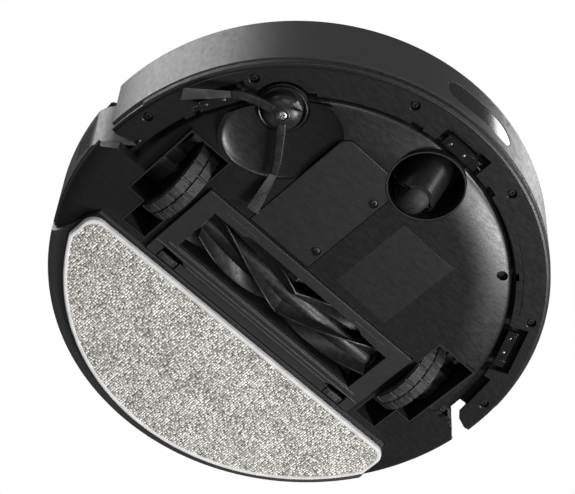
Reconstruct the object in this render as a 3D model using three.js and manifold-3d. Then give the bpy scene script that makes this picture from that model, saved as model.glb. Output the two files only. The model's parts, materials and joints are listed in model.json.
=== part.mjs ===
// A round robot vacuum with a rear mop: an assembly of separate, named pieces.
// Millimetres, +Z up, +Y forward, +X to the robot's right. The origin is on the floor, below the
// centre of the round body, so the tyres, the caster and the mop cloth are what reach z = 0.

import * as THREE from "three";
import { mergeVertices } from "three/addons/utils/BufferGeometryUtils.js";
import Module from "manifold-3d";

const wasm = await Module();
wasm.setup();

// ---------------------------------------------------------------- driving dimensions
const BODY_R = 175; // outer radius of the round body
const BODY_TOP = 68; // top of the side wall
const BUMPER_TOP = 75;
const LID_TOP = 80; // highest point of the top cover
const TURRET_TOP = 97;
const GAP = 0.3; // clearance between pieces that only touch
const WALL = 3;

const PLATE_Z = 10; // underside of the flat base plate
const PLATE_T = 2.5;
const SHOULDER_R = 118; // where the plate starts to rise towards the bumper
const RIM_R = 150.5; // inner radius of the bumper's lower flange
const RIM_Z = 17; // underside of the plate's raised edge at the rear sides
const LEDGE_Z = 20; // underside of the plate's ledge above the bumper's flange
const FRONT_WALL_R = 153; // chassis wall behind the bumper

const FLANGE_Z = 13;
const FLANGE_T = 2;
const NOTCH_R = 164; // the flange is cut back to here round the drop sensors
const BRUSH_NOTCH_R = 21.3; // and by this round hole about the side brush

const WHEEL_X = 111.6;
const WHEEL_Y = -3;
const WHEEL_R = 33.5;
const WHEEL_W = 17;
const WELL = { inner: 101.5, outer: 138, step: 124, front: 40, mid: -25, rear: -47 };
const ARM = { inner: 121.6, knuckle: 128.2, outer: 135 }; // along X
const ROOF = 71; // top of the wheel housings
const PIVOT = { y: 28, z: 37 }; // suspension pivot, ahead of the wheel

const BRUSH = { y: -12.5, z: 21, r: 18.5, half: 80 };
const GUARD = { half: 98, front: 16, rear: -49.5, z: 7.2, t: 3.2 };
const MOUTH = { half: 83, front: 8, rear: -33 };

const CASTER = { x: -1.5, y: 121, r: 25.6, top: 45, axleY: 110, wheelR: 13.5, wheelW: 18 };
const HOOD = { r: 16, lean: 45, lip: 3, bottom: 3.5, swing: 24.3 };
const CASTER_CUP_R = CASTER.r + 1.5; // outside of the socket
const SIDE = { x: 105.5, y: 92.5, hubR: 13.2 }; // side brush spindle
const BOWL = { x: 92, y: 79, across: 32.5, along: 41, turn: 41, depth: 5 }; // the oval dish round it
const BAY = { x0: 8, x1: 63, y0: 17.5, y1: 110, round: 8 }; // battery opening
const SENSOR = { r0: 150.6, r1: 158.2, half: 15.4, lenses: [-9.4, 3] }; // drop sensors, along the radius
const SENSOR_ANGLES = { front: 90, right: 26, left: 154 };

const MODULE = { frontY: -51, cornerX: 138, seamX: 147.5, seamY: -88, z: 8 };
const MOP = { frontY: -52.5, half: 143, r: 162.5, z: 0.4, top: 5.2 };
const TURRET = { y: -28, r: 45 };

const rad = THREE.MathUtils.degToRad;

// ---------------------------------------------------------------- finishes
const finish = (color, roughness, metalness = 0) =>
  new THREE.MeshStandardMaterial({ color, roughness, metalness });
const FINISH = {
  body: finish(0x1c1c1d, 0.55),
  bumper: finish(0x3a3b3c, 0.42),
  gloss: finish(0x1a1a1c, 0.12),
  inner: finish(0x0d0d0e, 0.7),
  rubber: finish(0x232324, 0.8),
  tyre: finish(0x2a2a2b, 0.85),
  fabric: finish(0xb9b4ac, 0.95),
  steel: finish(0xa9abad, 0.3, 1),
  board: finish(0x14402a, 0.6),
  cell: finish(0x2b3c66, 0.5),
  clear: finish(0x2c2e33, 0.15),
  bristle: finish(0x39393b, 0.7),
};

// ---------------------------------------------------------------- solids from three.js shapes
// A closed three.js geometry as a solid that can be joined and cut.
function solid(geometry) {
  const bare = new THREE.BufferGeometry();
  bare.setAttribute("position", geometry.getAttribute("position"));
  bare.setIndex(geometry.index);
  const merged = mergeVertices(bare, 1e-4);
  const source = merged.index.array;
  const kept = [];
  for (let i = 0; i < source.length; i += 3) {
    const [a, b, c] = [source[i], source[i + 1], source[i + 2]];
    if (a !== b && b !== c && c !== a) kept.push(a, b, c);
  }
  const make = (order) =>
    new wasm.Manifold(
      new wasm.Mesh({
        numProp: 3,
        vertProperties: new Float32Array(merged.attributes.position.array),
        triVerts: new Uint32Array(order),
      }),
    );
  const made = make(kept);
  if (made.volume() > 0) return made;
  const turned = [];
  for (let i = 0; i < kept.length; i += 3) turned.push(kept[i], kept[i + 2], kept[i + 1]);
  return make(turned);
}

const join = (first, ...others) => others.reduce((sum, s) => sum.add(s), first);
const cut = (first, ...others) => others.reduce((rest, s) => rest.subtract(s), first);

function block(x0, x1, y0, y1, z0, z1) {
  const box = new THREE.BoxGeometry(x1 - x0, y1 - y0, z1 - z0);
  return solid(box.translate((x0 + x1) / 2, (y0 + y1) / 2, (z0 + z1) / 2));
}

// An upright cylinder, or a cone frustum when a top radius is given.
function post(r, z0, z1, x = 0, y = 0, sides = 32, topR = r) {
  const drum = new THREE.CylinderGeometry(topR, r, z1 - z0, sides).rotateX(Math.PI / 2);
  return solid(drum.translate(x, y, (z0 + z1) / 2));
}

// A cylinder lying along X.
function rod(r, x0, x1, y, z, sides = 28) {
  const drum = new THREE.CylinderGeometry(r, r, x1 - x0, sides).rotateZ(Math.PI / 2);
  return solid(drum.translate((x0 + x1) / 2, y, z));
}

// A profile of [radius, height] points turned about the vertical axis.
function turned(profile, sides = 56, x = 0, y = 0) {
  const points = profile.map(([r, z]) => new THREE.Vector2(r, z));
  const closed = [...points, points[0].clone()];
  return solid(new THREE.LatheGeometry(closed, sides).rotateX(Math.PI / 2).translate(x, y, 0));
}

// A profile of [radius, x] points turned about an axis along X.
function turnedAlongX(profile, y, z, sides = 36) {
  const points = profile.map(([r, x]) => new THREE.Vector2(r, x));
  const closed = [...points, points[0].clone()];
  return solid(new THREE.LatheGeometry(closed, sides).rotateZ(-Math.PI / 2).translate(0, y, z));
}

const ring = (r0, r1, z0, z1, sides = 56, x = 0, y = 0) =>
  turned([[r0, z0], [r1, z0], [r1, z1], [r0, z1]], sides, x, y);

const disc = (r, z0, z1, sides = 48) => turned([[0, z0], [r, z0], [r, z1], [0, z1]], sides);

function prism(shape, z0, z1, curveSegments = 10) {
  const options = { depth: z1 - z0, bevelEnabled: false, curveSegments };
  return solid(new THREE.ExtrudeGeometry(shape, options).translate(0, 0, z0));
}

const polygon = (points) => new THREE.Shape(points.map(([x, y]) => new THREE.Vector2(x, y)));

// A flat shape from a closed list of [x, y, fillet] corners.
function rounded(corners) {
  const shape = new THREE.Shape();
  corners.forEach(([x, y, fillet], i) => {
    const [px, py] = corners[(i + corners.length - 1) % corners.length];
    const [nx, ny] = corners[(i + 1) % corners.length];
    const corner = new THREE.Vector2(x, y);
    const before = new THREE.Vector2(px, py).sub(corner).setLength(fillet).add(corner);
    const after = new THREE.Vector2(nx, ny).sub(corner).setLength(fillet).add(corner);
    if (i === 0) shape.moveTo(before.x, before.y);
    else shape.lineTo(before.x, before.y);
    shape.quadraticCurveTo(x, y, after.x, after.y);
  });
  shape.closePath();
  return shape;
}

const mirrorX = (s) => s.mirror([1, 0, 0]);
const spunTo = (s, degrees) => s.rotate([0, 0, degrees]);
const ahead = (y) => block(-200, 200, y, 200, -20, 140);
const behind = (y) => block(-200, 200, -200, y, -20, 140);

const robot = new THREE.Group();

// Adds one named sub-part to the robot.
function add(name, made, material) {
  const mesh = made.getMesh();
  const vertices = new Float32Array(mesh.numVert * 3);
  for (let i = 0; i < mesh.numVert; i++) {
    const start = i * mesh.numProp;
    vertices.set(mesh.vertProperties.subarray(start, start + 3), i * 3);
  }
  const geometry = new THREE.BufferGeometry();
  geometry.setAttribute("position", new THREE.BufferAttribute(vertices, 3));
  geometry.setIndex(new THREE.BufferAttribute(mesh.triVerts, 1));
  geometry.computeVertexNormals();
  const piece = new THREE.Mesh(geometry, material);
  piece.name = name;
  robot.add(piece);
}

// ---------------------------------------------------------------- shared outlines
// The rear module seen from above, grown by a margin for the cavity that holds it.
function moduleOutline(margin) {
  const seamR = BODY_R + margin;
  const seamAngle = Math.atan2(MODULE.seamY + margin, MODULE.seamX + margin);
  const shape = new THREE.Shape();
  shape.moveTo(-MODULE.cornerX - margin, MODULE.frontY + margin);
  shape.lineTo(-MODULE.seamX - margin, MODULE.seamY + margin);
  shape.absarc(0, 0, seamR, -Math.PI - seamAngle, seamAngle, false);
  shape.lineTo(MODULE.cornerX + margin, MODULE.frontY + margin);
  shape.closePath();
  return shape;
}

// The mop cloth seen from above: a straight front edge and a round rear edge.
function mopOutline(inset) {
  const half = MOP.half - inset;
  const r = MOP.r - inset;
  const frontY = MOP.frontY - inset;
  const corner = 9;
  const side = Math.atan2(-Math.sqrt(r * r - half * half), half);
  const shape = new THREE.Shape();
  shape.moveTo(-half + corner, frontY);
  shape.quadraticCurveTo(-half, frontY, -half, frontY - corner);
  shape.absarc(0, 0, r, -Math.PI - side, side, false);
  shape.lineTo(half, frontY - corner);
  shape.quadraticCurveTo(half, frontY, half - corner, frontY);
  shape.closePath();
  return shape;
}

function wellOutline(margin) {
  const x0 = WELL.inner - margin;
  const [outer, step] = [WELL.outer + margin, WELL.step + margin];
  const [front, mid, rear] = [WELL.front + margin, WELL.mid - margin, WELL.rear - margin];
  return polygon([[x0, rear], [step, rear], [step, mid], [outer, mid], [outer, front], [x0, front]]);
}

// Turns a piece made on the +X side to where the named drop sensor sits.
function atSensor(name, made) {
  return spunTo(made, SENSOR_ANGLES[name]);
}

// ---------------------------------------------------------------- chassis
// Slanted vent slots in each rear side, which rise towards the back.
const VENT = { count: 9, z: 24, pitch: 4, width: 1.7, length: 26, slope: 29, top: 60, bearing: -8.6 };

function basePlate() {
  const front = turned([
    [0, PLATE_Z], [SHOULDER_R, PLATE_Z], [SHOULDER_R + 12, PLATE_Z + 1.2], [SHOULDER_R + 24, PLATE_Z + 4],
    [RIM_R - 4.5, PLATE_Z + 5.4], [RIM_R - 1, LEDGE_Z], [FRONT_WALL_R, LEDGE_Z],
    [FRONT_WALL_R, LEDGE_Z + PLATE_T], [RIM_R - 3, LEDGE_Z + PLATE_T], [RIM_R - 7, PLATE_Z + 7.9],
    [SHOULDER_R + 22, PLATE_Z + 4 + PLATE_T], [SHOULDER_R, PLATE_Z + PLATE_T], [0, PLATE_Z + PLATE_T],
  ]);
  const rear = turned([
    [0, PLATE_Z], [162, PLATE_Z], [170, PLATE_Z + 2.5], [BODY_R - 1, RIM_Z],
    [BODY_R - 1, RIM_Z + PLATE_T], [0, RIM_Z + PLATE_T - 5],
  ]);
  const rearSide = cut(rear.intersect(behind(-6)), prism(notchOutline(), 0, 40));
  const sheet = join(front.intersect(ahead(MODULE.frontY + 1)), rearSide);
  const bowl = bowlSolid(0).intersect(block(0, 200, 0, 200, PLATE_Z - 1, PLATE_Z + BOWL.depth + PLATE_T));
  const bowlHollow = bowlSolid(PLATE_T).intersect(block(0, 200, 0, 200, 0, 40));
  const casterCup = post(CASTER_CUP_R + GAP, 0, 60, CASTER.x, CASTER.y, 40);
  const sideSeat = post(18.3, 0, 60, SIDE.x, SIDE.y, 32);
  let plate = cut(join(sheet, bowl), bowlHollow);
  plate = cut(
    plate,
    prism(moduleOutline(0.8), 0, 60, 24),
    prism(wellOutline(0), 0, 60),
    mirrorX(prism(wellOutline(0), 0, 60)),
    block(-GUARD.half - 0.5, GUARD.half + 0.5, GUARD.rear - 0.5, GUARD.front + 0.5, 0, 60),
    casterCup,
    sideSeat,
    prism(bayOutline(0.5), 0, 60),
    post(4, 0, 60, -91.7, 107.8, 16),
  );
  return plate;
}

// The oval dish round the side brush, as a cone, thinner by the given skin.
function bowlSolid(skin) {
  const grow = skin ? -skin * 0.6 : PLATE_T;
  const z1 = PLATE_Z + BOWL.depth + (skin ? 0 : PLATE_T);
  const cone = post(1, PLATE_Z - 1, z1, 0, 0, 44, 0.62);
  const oval = cone.scale([BOWL.across + grow, BOWL.along + grow, 1]);
  return spunTo(oval, BOWL.turn).translate([BOWL.x, BOWL.y, 0]);
}

// The battery opening, or its cover, seen from below.
function bayOutline(margin) {
  const [x0, x1, y0, y1] = [BAY.x0 - margin, BAY.x1 + margin, BAY.y0 - margin, BAY.y1 + margin];
  return rounded([[x0, y0, 1], [x1, y0, 1], [x1, y1, BAY.round + margin], [x0, y1, 1]]);
}

// The gap between the end of the bumper and the rear body, on both sides.
function notchOutline() {
  return polygon([[210, 20], [151.5, 20], [151.5, 4], [166.5, -10], [171.5, -15.5], [210, -15.5]]);
}

// The wall round the chassis: behind the bumper at the front, the outer skin at the rear sides.
function sideShell() {
  const [z0, z1] = [RIM_Z + PLATE_T + GAP, BODY_TOP];
  const frontWall = ring(RIM_R - 0.5, FRONT_WALL_R, LEDGE_Z + PLATE_T + GAP, z1).intersect(ahead(-1));
  const outline = (inset) => {
    const shape = new THREE.Shape();
    const r = BODY_R - inset;
    const start = Math.atan2(-17, 173);
    shape.moveTo(151.5 - inset, 3.5);
    shape.lineTo(166 - inset, -9.5);
    shape.lineTo(r * Math.cos(start), r * Math.sin(start));
    shape.absarc(0, 0, r, start, -Math.PI - start, true);
    shape.lineTo(-166 + inset, -9.5);
    shape.lineTo(-151.5 + inset, 3.5);
    shape.closePath();
    return shape;
  };
  const rearWall = cut(prism(outline(0), z0, z1, 24), prism(outline(WALL), 0, 100, 24),
    block(-140, 140, -10, 10, 0, 100), block(-160, 160, -0.7, 10, 0, LEDGE_Z + PLATE_T + GAP));
  const shell = join(frontWall, rearWall);
  const cavity = prism(moduleOutline(0.8), 0, 100, 24);
  const vents = [];
  for (let i = 0; i < VENT.count; i++) {
    const z = VENT.z + i * VENT.pitch;
    const length = Math.min(VENT.length, (VENT.top - z) / Math.sin(rad(VENT.slope)));
    const slot = block(-6, 6, -length, 0, -VENT.width / 2, VENT.width / 2);
    const placed = slot.rotate([-VENT.slope, 0, 0]).translate([BODY_R, 0, z]);
    vents.push(spunTo(placed, VENT.bearing), mirrorX(spunTo(placed, VENT.bearing)));
  }
  return cut(shell, cavity, ...vents);
}

function topCover() {
  const rearPart = turned([
    [0, 70], [171, 70], [172, 71.5], [168, 76], [158, 79], [140, LID_TOP], [0, LID_TOP],
  ]).intersect(behind(-14));
  const frontPart = turned([
    [0, 70], [165, 70], [166, 72], [163, 77], [156, 79.2], [140, LID_TOP], [0, LID_TOP],
  ]).intersect(ahead(-20));
  const hollow = turned([[0, 60], [150, 60], [150, 75.5], [140, 77.4], [0, 77.4]]);
  const buttons = [-14, 14].map((x) => post(8.4, 60, 90, x, 128, 28));
  return cut(join(rearPart, frontPart), hollow, post(TURRET.r + 1, 60, 90, 0, TURRET.y, 48),
    block(-17, 17, -BODY_R - 5, -162, 60, 90), ...buttons);
}

// The deck under the cover: it carries the electronics and the turret's bearing.
function topDeck() {
  const deck = disc(FRONT_WALL_R - 4, ROOF + GAP, ROOF + 1.7, 48).intersect(ahead(-45));
  return cut(deck, post(20, 0, 90, 0, TURRET.y, 32));
}

// ---------------------------------------------------------------- drive wheels
function wheelHousing() {
  const outer = prism(wellOutline(-GAP), PLATE_Z, ROOF);
  const inner = prism(wellOutline(-GAP - 1.2), 0, ROOF - 1.3);
  return cut(outer, inner);
}

function wheelHub() {
  const [x0, x1] = [WHEEL_X - WHEEL_W / 2 + 1, WHEEL_X + WHEEL_W / 2 - 1];
  return join(
    turnedAlongX([[0, x0], [20, x0], [26.5, x0 + 2], [26.5, x1 - 2], [20, x1], [0, x1]], WHEEL_Y, WHEEL_R),
    rod(3, x1 - 1, x1 + 5, WHEEL_Y, WHEEL_R, 16),
  );
}

const LUG_HALF = 6.5;

// The tyre, with two rows of lugs that are half a pitch apart.
function tyre() {
  const [x0, x1] = [WHEEL_X - WHEEL_W / 2, WHEEL_X + WHEEL_W / 2];
  const grooves = WHEEL_R - 1.6;
  const carcass = turnedAlongX([[26.7, x0 + 1], [grooves - 1, x0], [grooves, x0 + 0.6],
    [grooves, x1 - 0.6], [grooves - 1, x1], [26.7, x1 - 1]], WHEEL_Y, WHEEL_R, 44);
  const lugs = [];
  const count = 14;
  const lugTop = Math.sqrt(WHEEL_R ** 2 - LUG_HALF ** 2);
  for (let i = 0; i < count; i++) {
    for (const row of [0, 1]) {
      const [a, b] = row ? [WHEEL_X + 0.4, x1 - 0.8] : [x0 + 0.8, WHEEL_X - 0.4];
      const turn = ((i + row / 2) * 360) / count;
      const lug = block(a, b, -LUG_HALF, LUG_HALF, grooves - 0.8, lugTop);
      lugs.push(lug.rotate([turn, 0, 0]).translate([0, WHEEL_Y, WHEEL_R]));
    }
  }
  return join(carcass, ...lugs);
}

// The gearbox arm: it turns on its own stub at the front and carries the wheel at its rear end.
function suspensionArm() {
  const { inner, knuckle, outer } = ARM;
  const upper = rod(10, inner, knuckle, PIVOT.y, PIVOT.z);
  const stub = rod(3, knuckle - 1, outer + 0.8, PIVOT.y, PIVOT.z, 16);
  const gears = rod(17, inner, outer, WHEEL_Y, WHEEL_R + 3);
  const web = block(inner, outer, WHEEL_Y + 2, PIVOT.y - 9, PIVOT.z - 9, PIVOT.z + 9);
  const neck = block(inner, knuckle, PIVOT.y - 12, PIVOT.y, PIVOT.z - 9, PIVOT.z + 9);
  const motor = block(inner + 1, outer - 1, -2, 17, 22, 54);
  const bore = rod(3.2, inner - 1, inner + 6.4, WHEEL_Y, WHEEL_R, 16);
  return cut(join(upper, stub, gears, web, neck, motor), bore);
}

// The torsion spring round the arm's stub.
function suspensionSpring() {
  const [coilR, wireR, turns, perTurn] = [6.5, 0.7, 4, 8];
  const [x0, x1] = [ARM.knuckle + wireR + GAP, ARM.outer - wireR];
  const points = [];
  for (let i = 0; i <= turns * perTurn; i++) {
    const a = (i / perTurn) * 2 * Math.PI;
    const x = x0 + ((x1 - x0) * i) / (turns * perTurn);
    points.push(new THREE.Vector3(x, PIVOT.y + coilR * Math.cos(a), PIVOT.z + coilR * Math.sin(a)));
  }
  return wireAlong(points, wireR, 5);
}

// A round wire of the given radius along a list of points.
function wireAlong(points, r, sides) {
  const section = new THREE.Shape();
  for (let i = 0; i < sides; i++) {
    const a = (i / sides) * 2 * Math.PI;
    if (i === 0) section.moveTo(r, 0);
    else section.lineTo(r * Math.cos(a), r * Math.sin(a));
  }
  section.closePath();
  const path = new THREE.CatmullRomCurve3(points);
  const options = { steps: points.length, extrudePath: path, bevelEnabled: false };
  return solid(new THREE.ExtrudeGeometry(section, options));
}

// ---------------------------------------------------------------- main brush
function brushSleeve() {
  const length = 2 * BRUSH.half;
  const tube = rod(8.5, -BRUSH.half, BRUSH.half, BRUSH.y, BRUSH.z, 24);
  const blades = 5;
  const steps = 6;
  const made = [];
  for (let i = 0; i < blades; i++) {
    for (const hand of [1, -1]) {
      const shape = polygon([[-1.3, 6], [1.3, 6], [0.7, BRUSH.r], [-0.7, BRUSH.r]]);
      const options = { depth: length / 2, steps, bevelEnabled: false };
      const blade = new THREE.ExtrudeGeometry(shape, options);
      const at = blade.getAttribute("position");
      for (let v = 0; v < at.count; v++) {
        const p = new THREE.Vector3().fromBufferAttribute(at, v);
        const twist = (p.z / (length / 2)) * rad(100);
        p.applyAxisAngle(new THREE.Vector3(0, 0, 1), hand * twist + (i * 2 * Math.PI) / blades);
        at.setXYZ(v, hand * p.z, hand * p.x, p.y);
      }
      made.push(solid(blade).translate([0, BRUSH.y, BRUSH.z]));
    }
  }
  const bore = rod(4.2, -BRUSH.half - 1, BRUSH.half + 1, BRUSH.y, BRUSH.z, 12);
  return cut(join(tube, ...made), bore);
}

const brushCore = () =>
  join(
    rod(4, -BRUSH.half - 7, BRUSH.half + 7, BRUSH.y, BRUSH.z, 12),
    rod(9.5, -BRUSH.half - 2.6, -BRUSH.half - 0.4, BRUSH.y, BRUSH.z, 20),
    rod(9.5, BRUSH.half + 0.4, BRUSH.half + 2.6, BRUSH.y, BRUSH.z, 20),
  );

// A square end block that carries one end of the brush; it drops into a slot in the chamber.
function brushBearing() {
  const [x0, x1] = [BRUSH.half + 3.2, BRUSH.half + 8.4];
  const body = block(x0, x1, BRUSH.y - 8, BRUSH.y + 8, BRUSH.z - 8, BRUSH.z + 8);
  return cut(body, rod(4.3, x0 - 1, x1 + 1, BRUSH.y, BRUSH.z, 12));
}

// The tunnel over the brush, with a duct at the rear that leads to the bin.
function brushChamber() {
  const [x1, z1] = [BRUSH.half + 9.5, 48];
  const outer = block(-x1 - 2, x1 + 2, MOUTH.rear - 4, MOUTH.front + 3, GUARD.z + GUARD.t + GAP, z1);
  const tunnel = rod(20.5, -x1, x1, BRUSH.y, BRUSH.z + 1, 36);
  const mouth = block(-x1, x1, BRUSH.y - 20.3, BRUSH.y + 20.3, 0, BRUSH.z + 1);
  const duct = block(-30, 30, MODULE.frontY + 2, BRUSH.y, 26, 40);
  const ductWall = block(-32, 32, MODULE.frontY + 2, MOUTH.rear, 24, 42);
  return cut(join(outer, ductWall), tunnel, mouth, duct);
}

// The drop-in frame round the brush, with scoops at its front corners.
function brushGuard() {
  const { half, front, rear, z, t } = GUARD;
  const plate = block(-half, half, rear, front, z, z + t);
  const mouth = block(-MOUTH.half, MOUTH.half, MOUTH.rear, MOUTH.front, 0, 30);
  const wedge = polygon([[50, MOUTH.front + 1], [83.5, MOUTH.front + 1], [83.5, 5.2], [57, 5.2]]);
  const scoop = prism(wedge, z, z + 2);
  const lip = block(-68, 68, -42.6, -41.4, z - 0.8, z + 1);
  const latchSlot = block(72, 89, rear - 1, rear + 9, 0, 30);
  return cut(join(cut(plate, mouth), scoop, mirrorX(scoop), lip), latchSlot, mirrorX(latchSlot));
}

const guardLatch = () =>
  join(
    block(73, 88, GUARD.rear + 0.6, GUARD.rear + 5.4, GUARD.z, GUARD.z + 2.6),
    block(76, 85, GUARD.rear + 1.6, GUARD.rear + 3, GUARD.z - 0.9, GUARD.z + 0.5),
  );

// The brush motor, ahead of the tunnel, and the gear case that reaches back to the brush's left end.
const brushMotor = () =>
  join(
    block(-97, -93, -22, 30, 18, 44),
    cut(block(-97, -62, GUARD.front + 1.5, 35, 18, 44), block(-91, -60, 31, 60, 18, 26)),
  );

// ---------------------------------------------------------------- caster
const casterSocket = () =>
  cut(
    turned([[0, CASTER.top - 2], [CASTER.r, CASTER.top - 2], [CASTER.r, PLATE_Z], [CASTER_CUP_R, PLATE_Z],
      [CASTER_CUP_R, CASTER.top], [0, CASTER.top]], 40, CASTER.x, CASTER.y),
    post(4.3, 30, 60, CASTER.x, CASTER.y, 16),
  );

// The swivel hood: a tube that leans forward, open below and behind, with the wheel in its mouth.
function casterFork() {
  const lean = (r, start, length) => {
    const tube = new THREE.CylinderGeometry(r, r, length, 28).rotateX(Math.PI / 2);
    tube.translate(0, 0, length / 2 + start).rotateX(rad(-HOOD.lean));
    return solid(tube.translate(0, CASTER.axleY - CASTER.y, CASTER.wheelR));
  };
  const hood = lean(HOOD.r, -HOOD.lip, 60).intersect(post(HOOD.swing, HOOD.bottom, 38));
  const disk = post(HOOD.swing, 37, 41);
  const stem = post(4, 40, CASTER.top + 3, 0, 0, 16);
  const mouth = lean(HOOD.r - 1.7, -10, 29);
  const axleBore = rod(1.8, -20, 20, CASTER.axleY - CASTER.y, CASTER.wheelR, 12);
  return cut(join(hood, disk, stem), mouth, axleBore).translate([CASTER.x, CASTER.y, 0]);
}

const casterWheel = () => {
  const [r, w] = [CASTER.wheelR, CASTER.wheelW / 2];
  const profile = [[1.9, -w], [r - 4, -w], [r - 1, -w + 3], [r, -w + 6], [r, w - 6], [r - 1, w - 3],
    [r - 4, w], [1.9, w]];
  return turnedAlongX(profile, CASTER.axleY, r).translate([CASTER.x, 0, 0]);
};

const casterAxle = () =>
  rod(1.5, CASTER.x - 14.5, CASTER.x + 14.5, CASTER.axleY, CASTER.wheelR, 12);

// ---------------------------------------------------------------- side brush
// Each arm seen from below, from the spindle: a bent rubber stub, then a flat tuft of bristles.
const BRUSH_ARMS = [
  { stub: [[6, -1.2], [17, -3.3], [25.8, -6.1], [33.6, -13]], tip: [57.8, -34.2] },
  { stub: [[-3.9, -4.6], [-12, -13.9], [-21, -24.6], [-28, -37]], tip: [-36.5, -66] },
];
const STUB_HALF = 2.6;
const TUFT = { root: 2.2, tip: 4.6 }; // half widths

// A band of the given half widths along a bent line.
function band(line, halves) {
  const [left, right] = [[], []];
  line.forEach(([x, y], i) => {
    const [px, py] = line[Math.max(i - 1, 0)];
    const [nx, ny] = line[Math.min(i + 1, line.length - 1)];
    const length = Math.hypot(nx - px, ny - py);
    const [ux, uy] = [((nx - px) / length) * halves[i], ((ny - py) / length) * halves[i]];
    left.push([x - uy, y + ux]);
    right.unshift([x + uy, y - ux]);
  });
  return polygon([...left, ...right]);
}

// The hub: a dome with a bent stub for each arm.
function sideBrushHub() {
  const { hubR } = SIDE;
  const dome = turned([[0, 4.4], [4.6, 4.4], [8.6, 6], [11.6, 8.3], [hubR, 10.4], [hubR, 13], [0, 13]], 36);
  const stubs = BRUSH_ARMS.map(({ stub }) => prism(band(stub, stub.map(() => STUB_HALF)), 5.4, 8.6));
  const recess = post(3.6, 0, 5.6, 0, 0, 20);
  const socket = post(2.6, 10, 14, 0, 0, 20);
  const made = cut(join(dome, ...stubs), recess, socket, post(1.3, 0, 14, 0, 0, 12));
  return made.translate([SIDE.x, SIDE.y, 0]);
}

// One flat tuft of bristles, which drops from its stub to just above the floor.
function bristles({ stub, tip }) {
  const [x0, y0] = stub[stub.length - 1];
  const [dx, dy] = [tip[0] - x0, tip[1] - y0];
  const length = Math.hypot(dx, dy);
  const flat = band([[0.9, 0], [length, 0]], [TUFT.root, TUFT.tip]);
  const tilt = (Math.asin(4.4 / length) * 180) / Math.PI;
  const bearing = (Math.atan2(dy, dx) * 180) / Math.PI;
  const placed = prism(flat, -1, 1).rotate([0, tilt, 0]).rotate([0, 0, bearing]);
  return placed.translate([SIDE.x + x0, SIDE.y + y0, 7]);
}

const sideBrushScrew = () =>
  join(post(3.1, 4.6, 5.4, SIDE.x, SIDE.y, 16), post(1.1, 5, 13.6, SIDE.x, SIDE.y, 10));

// The gearmotor: a round seat that closes the plate, with the motor behind it.
const sideBrushMotor = () =>
  cut(
    join(
      post(18, 15.4, 19, SIDE.x, SIDE.y, 32),
      block(SIDE.x - 38, SIDE.x - 3, SIDE.y - 14, SIDE.y + 8, 18, 40),
      post(2.1, 10.4, 16, SIDE.x, SIDE.y, 20),
    ),
    post(1.4, 10, 14, SIDE.x, SIDE.y, 10),
  );

// ---------------------------------------------------------------- bumper
function bumperShell() {
  const wall = turned([
    [BODY_R - 3, FLANGE_Z + FLANGE_T + GAP], [BODY_R - 2, FLANGE_Z + FLANGE_T + GAP], [BODY_R - 2, 20.5],
    [BODY_R, 20.5], [BODY_R, BUMPER_TOP - 1.5], [BODY_R - 1.5, BUMPER_TOP], [BODY_R - 3, BUMPER_TOP],
  ], 72);
  const kept = cut(wall, prism(bumperEndOutline(), 0, 100), mirrorX(prism(bumperEndOutline(), 0, 100)),
    behind(-1));
  return cut(kept, windowSolid(0.4, BODY_R - 10, BODY_R + 5));
}

// What is cut away at each end of the bumper, seen from above.
function bumperEndOutline() {
  return polygon([[140, 11], [152.3, 11], [161, 2.4], [169, -0.6], [210, -0.6], [210, -40], [140, -40]]);
}

function bumperFlange() {
  const [r1, z1] = [BODY_R - 1, FLANGE_Z + FLANGE_T];
  const plate = turned([[RIM_R, FLANGE_Z], [r1, FLANGE_Z], [r1, z1], [RIM_R, z1]], 72);
  const notches = Object.keys(SENSOR_ANGLES).map((name) =>
    atSensor(name, block(140, NOTCH_R, -19.6, 19.6, 0, 40)));
  const rightEnd = spunTo(block(140, 152.6, -18, 18, 0, 40), 9);
  const leftEnd = spunTo(block(140, 156, -18, 18, 0, 40), 171);
  const end = prism(bumperEndOutline(), 0, 100);
  return cut(plate, behind(-1), end, mirrorX(end), ...notches, rightEnd, leftEnd,
    post(BRUSH_NOTCH_R, 0, 40, SIDE.x, SIDE.y, 48));
}

// The soft strip along the bumper's lower edge.
function bumperStrip() {
  const strip = turned([
    [BODY_R - 1.7, 15.4], [BODY_R - 0.3, 15.4], [BODY_R - 0.3, 20.2], [BODY_R - 1.7, 20.2],
  ], 72);
  const ends = block(-200, 200, -200, 26, 0, 60);
  return cut(strip, ends);
}

const WINDOW_Z = 43.5;

// A stadium-shaped block that crosses the bumper at the front.
function windowSolid(grow, y0, y1) {
  const [half, r] = [18.5, 12 + grow];
  const shape = new THREE.Shape();
  shape.absarc(half, 0, r, -Math.PI / 2, Math.PI / 2, false);
  shape.absarc(-half, 0, r, Math.PI / 2, (3 * Math.PI) / 2, false);
  shape.closePath();
  const bar = new THREE.ExtrudeGeometry(shape, { depth: y1 - y0, bevelEnabled: false, curveSegments: 14 });
  return solid(bar.rotateX(Math.PI / 2).translate(0, y1, WINDOW_Z));
}

const bumperWindow = () =>
  ring(BODY_R - 2.6, BODY_R - 0.4, 20, 70, 144).intersect(windowSolid(0, BODY_R - 20, BODY_R + 5));

// ---------------------------------------------------------------- sensors, contacts and fasteners
const dropSensor = (name) => {
  const { r0, r1, half, lenses } = SENSOR;
  const face = block(r0, r1, -half, half, 12.5, 16.7);
  const box = join(face, block(FRONT_WALL_R + GAP, r1, -12, 12, 16.5, 30));
  const holes = lenses.map((y) => post(1.7, 10, 14, (r0 + r1) / 2, y, 14));
  return atSensor(name, cut(box, ...holes));
};

const coverScrew = (x, y) =>
  join(post(2.8, PLATE_Z - 0.6, PLATE_Z + 0.4, x, y, 16), post(1.2, PLATE_Z, 18, x, y, 10));

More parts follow.
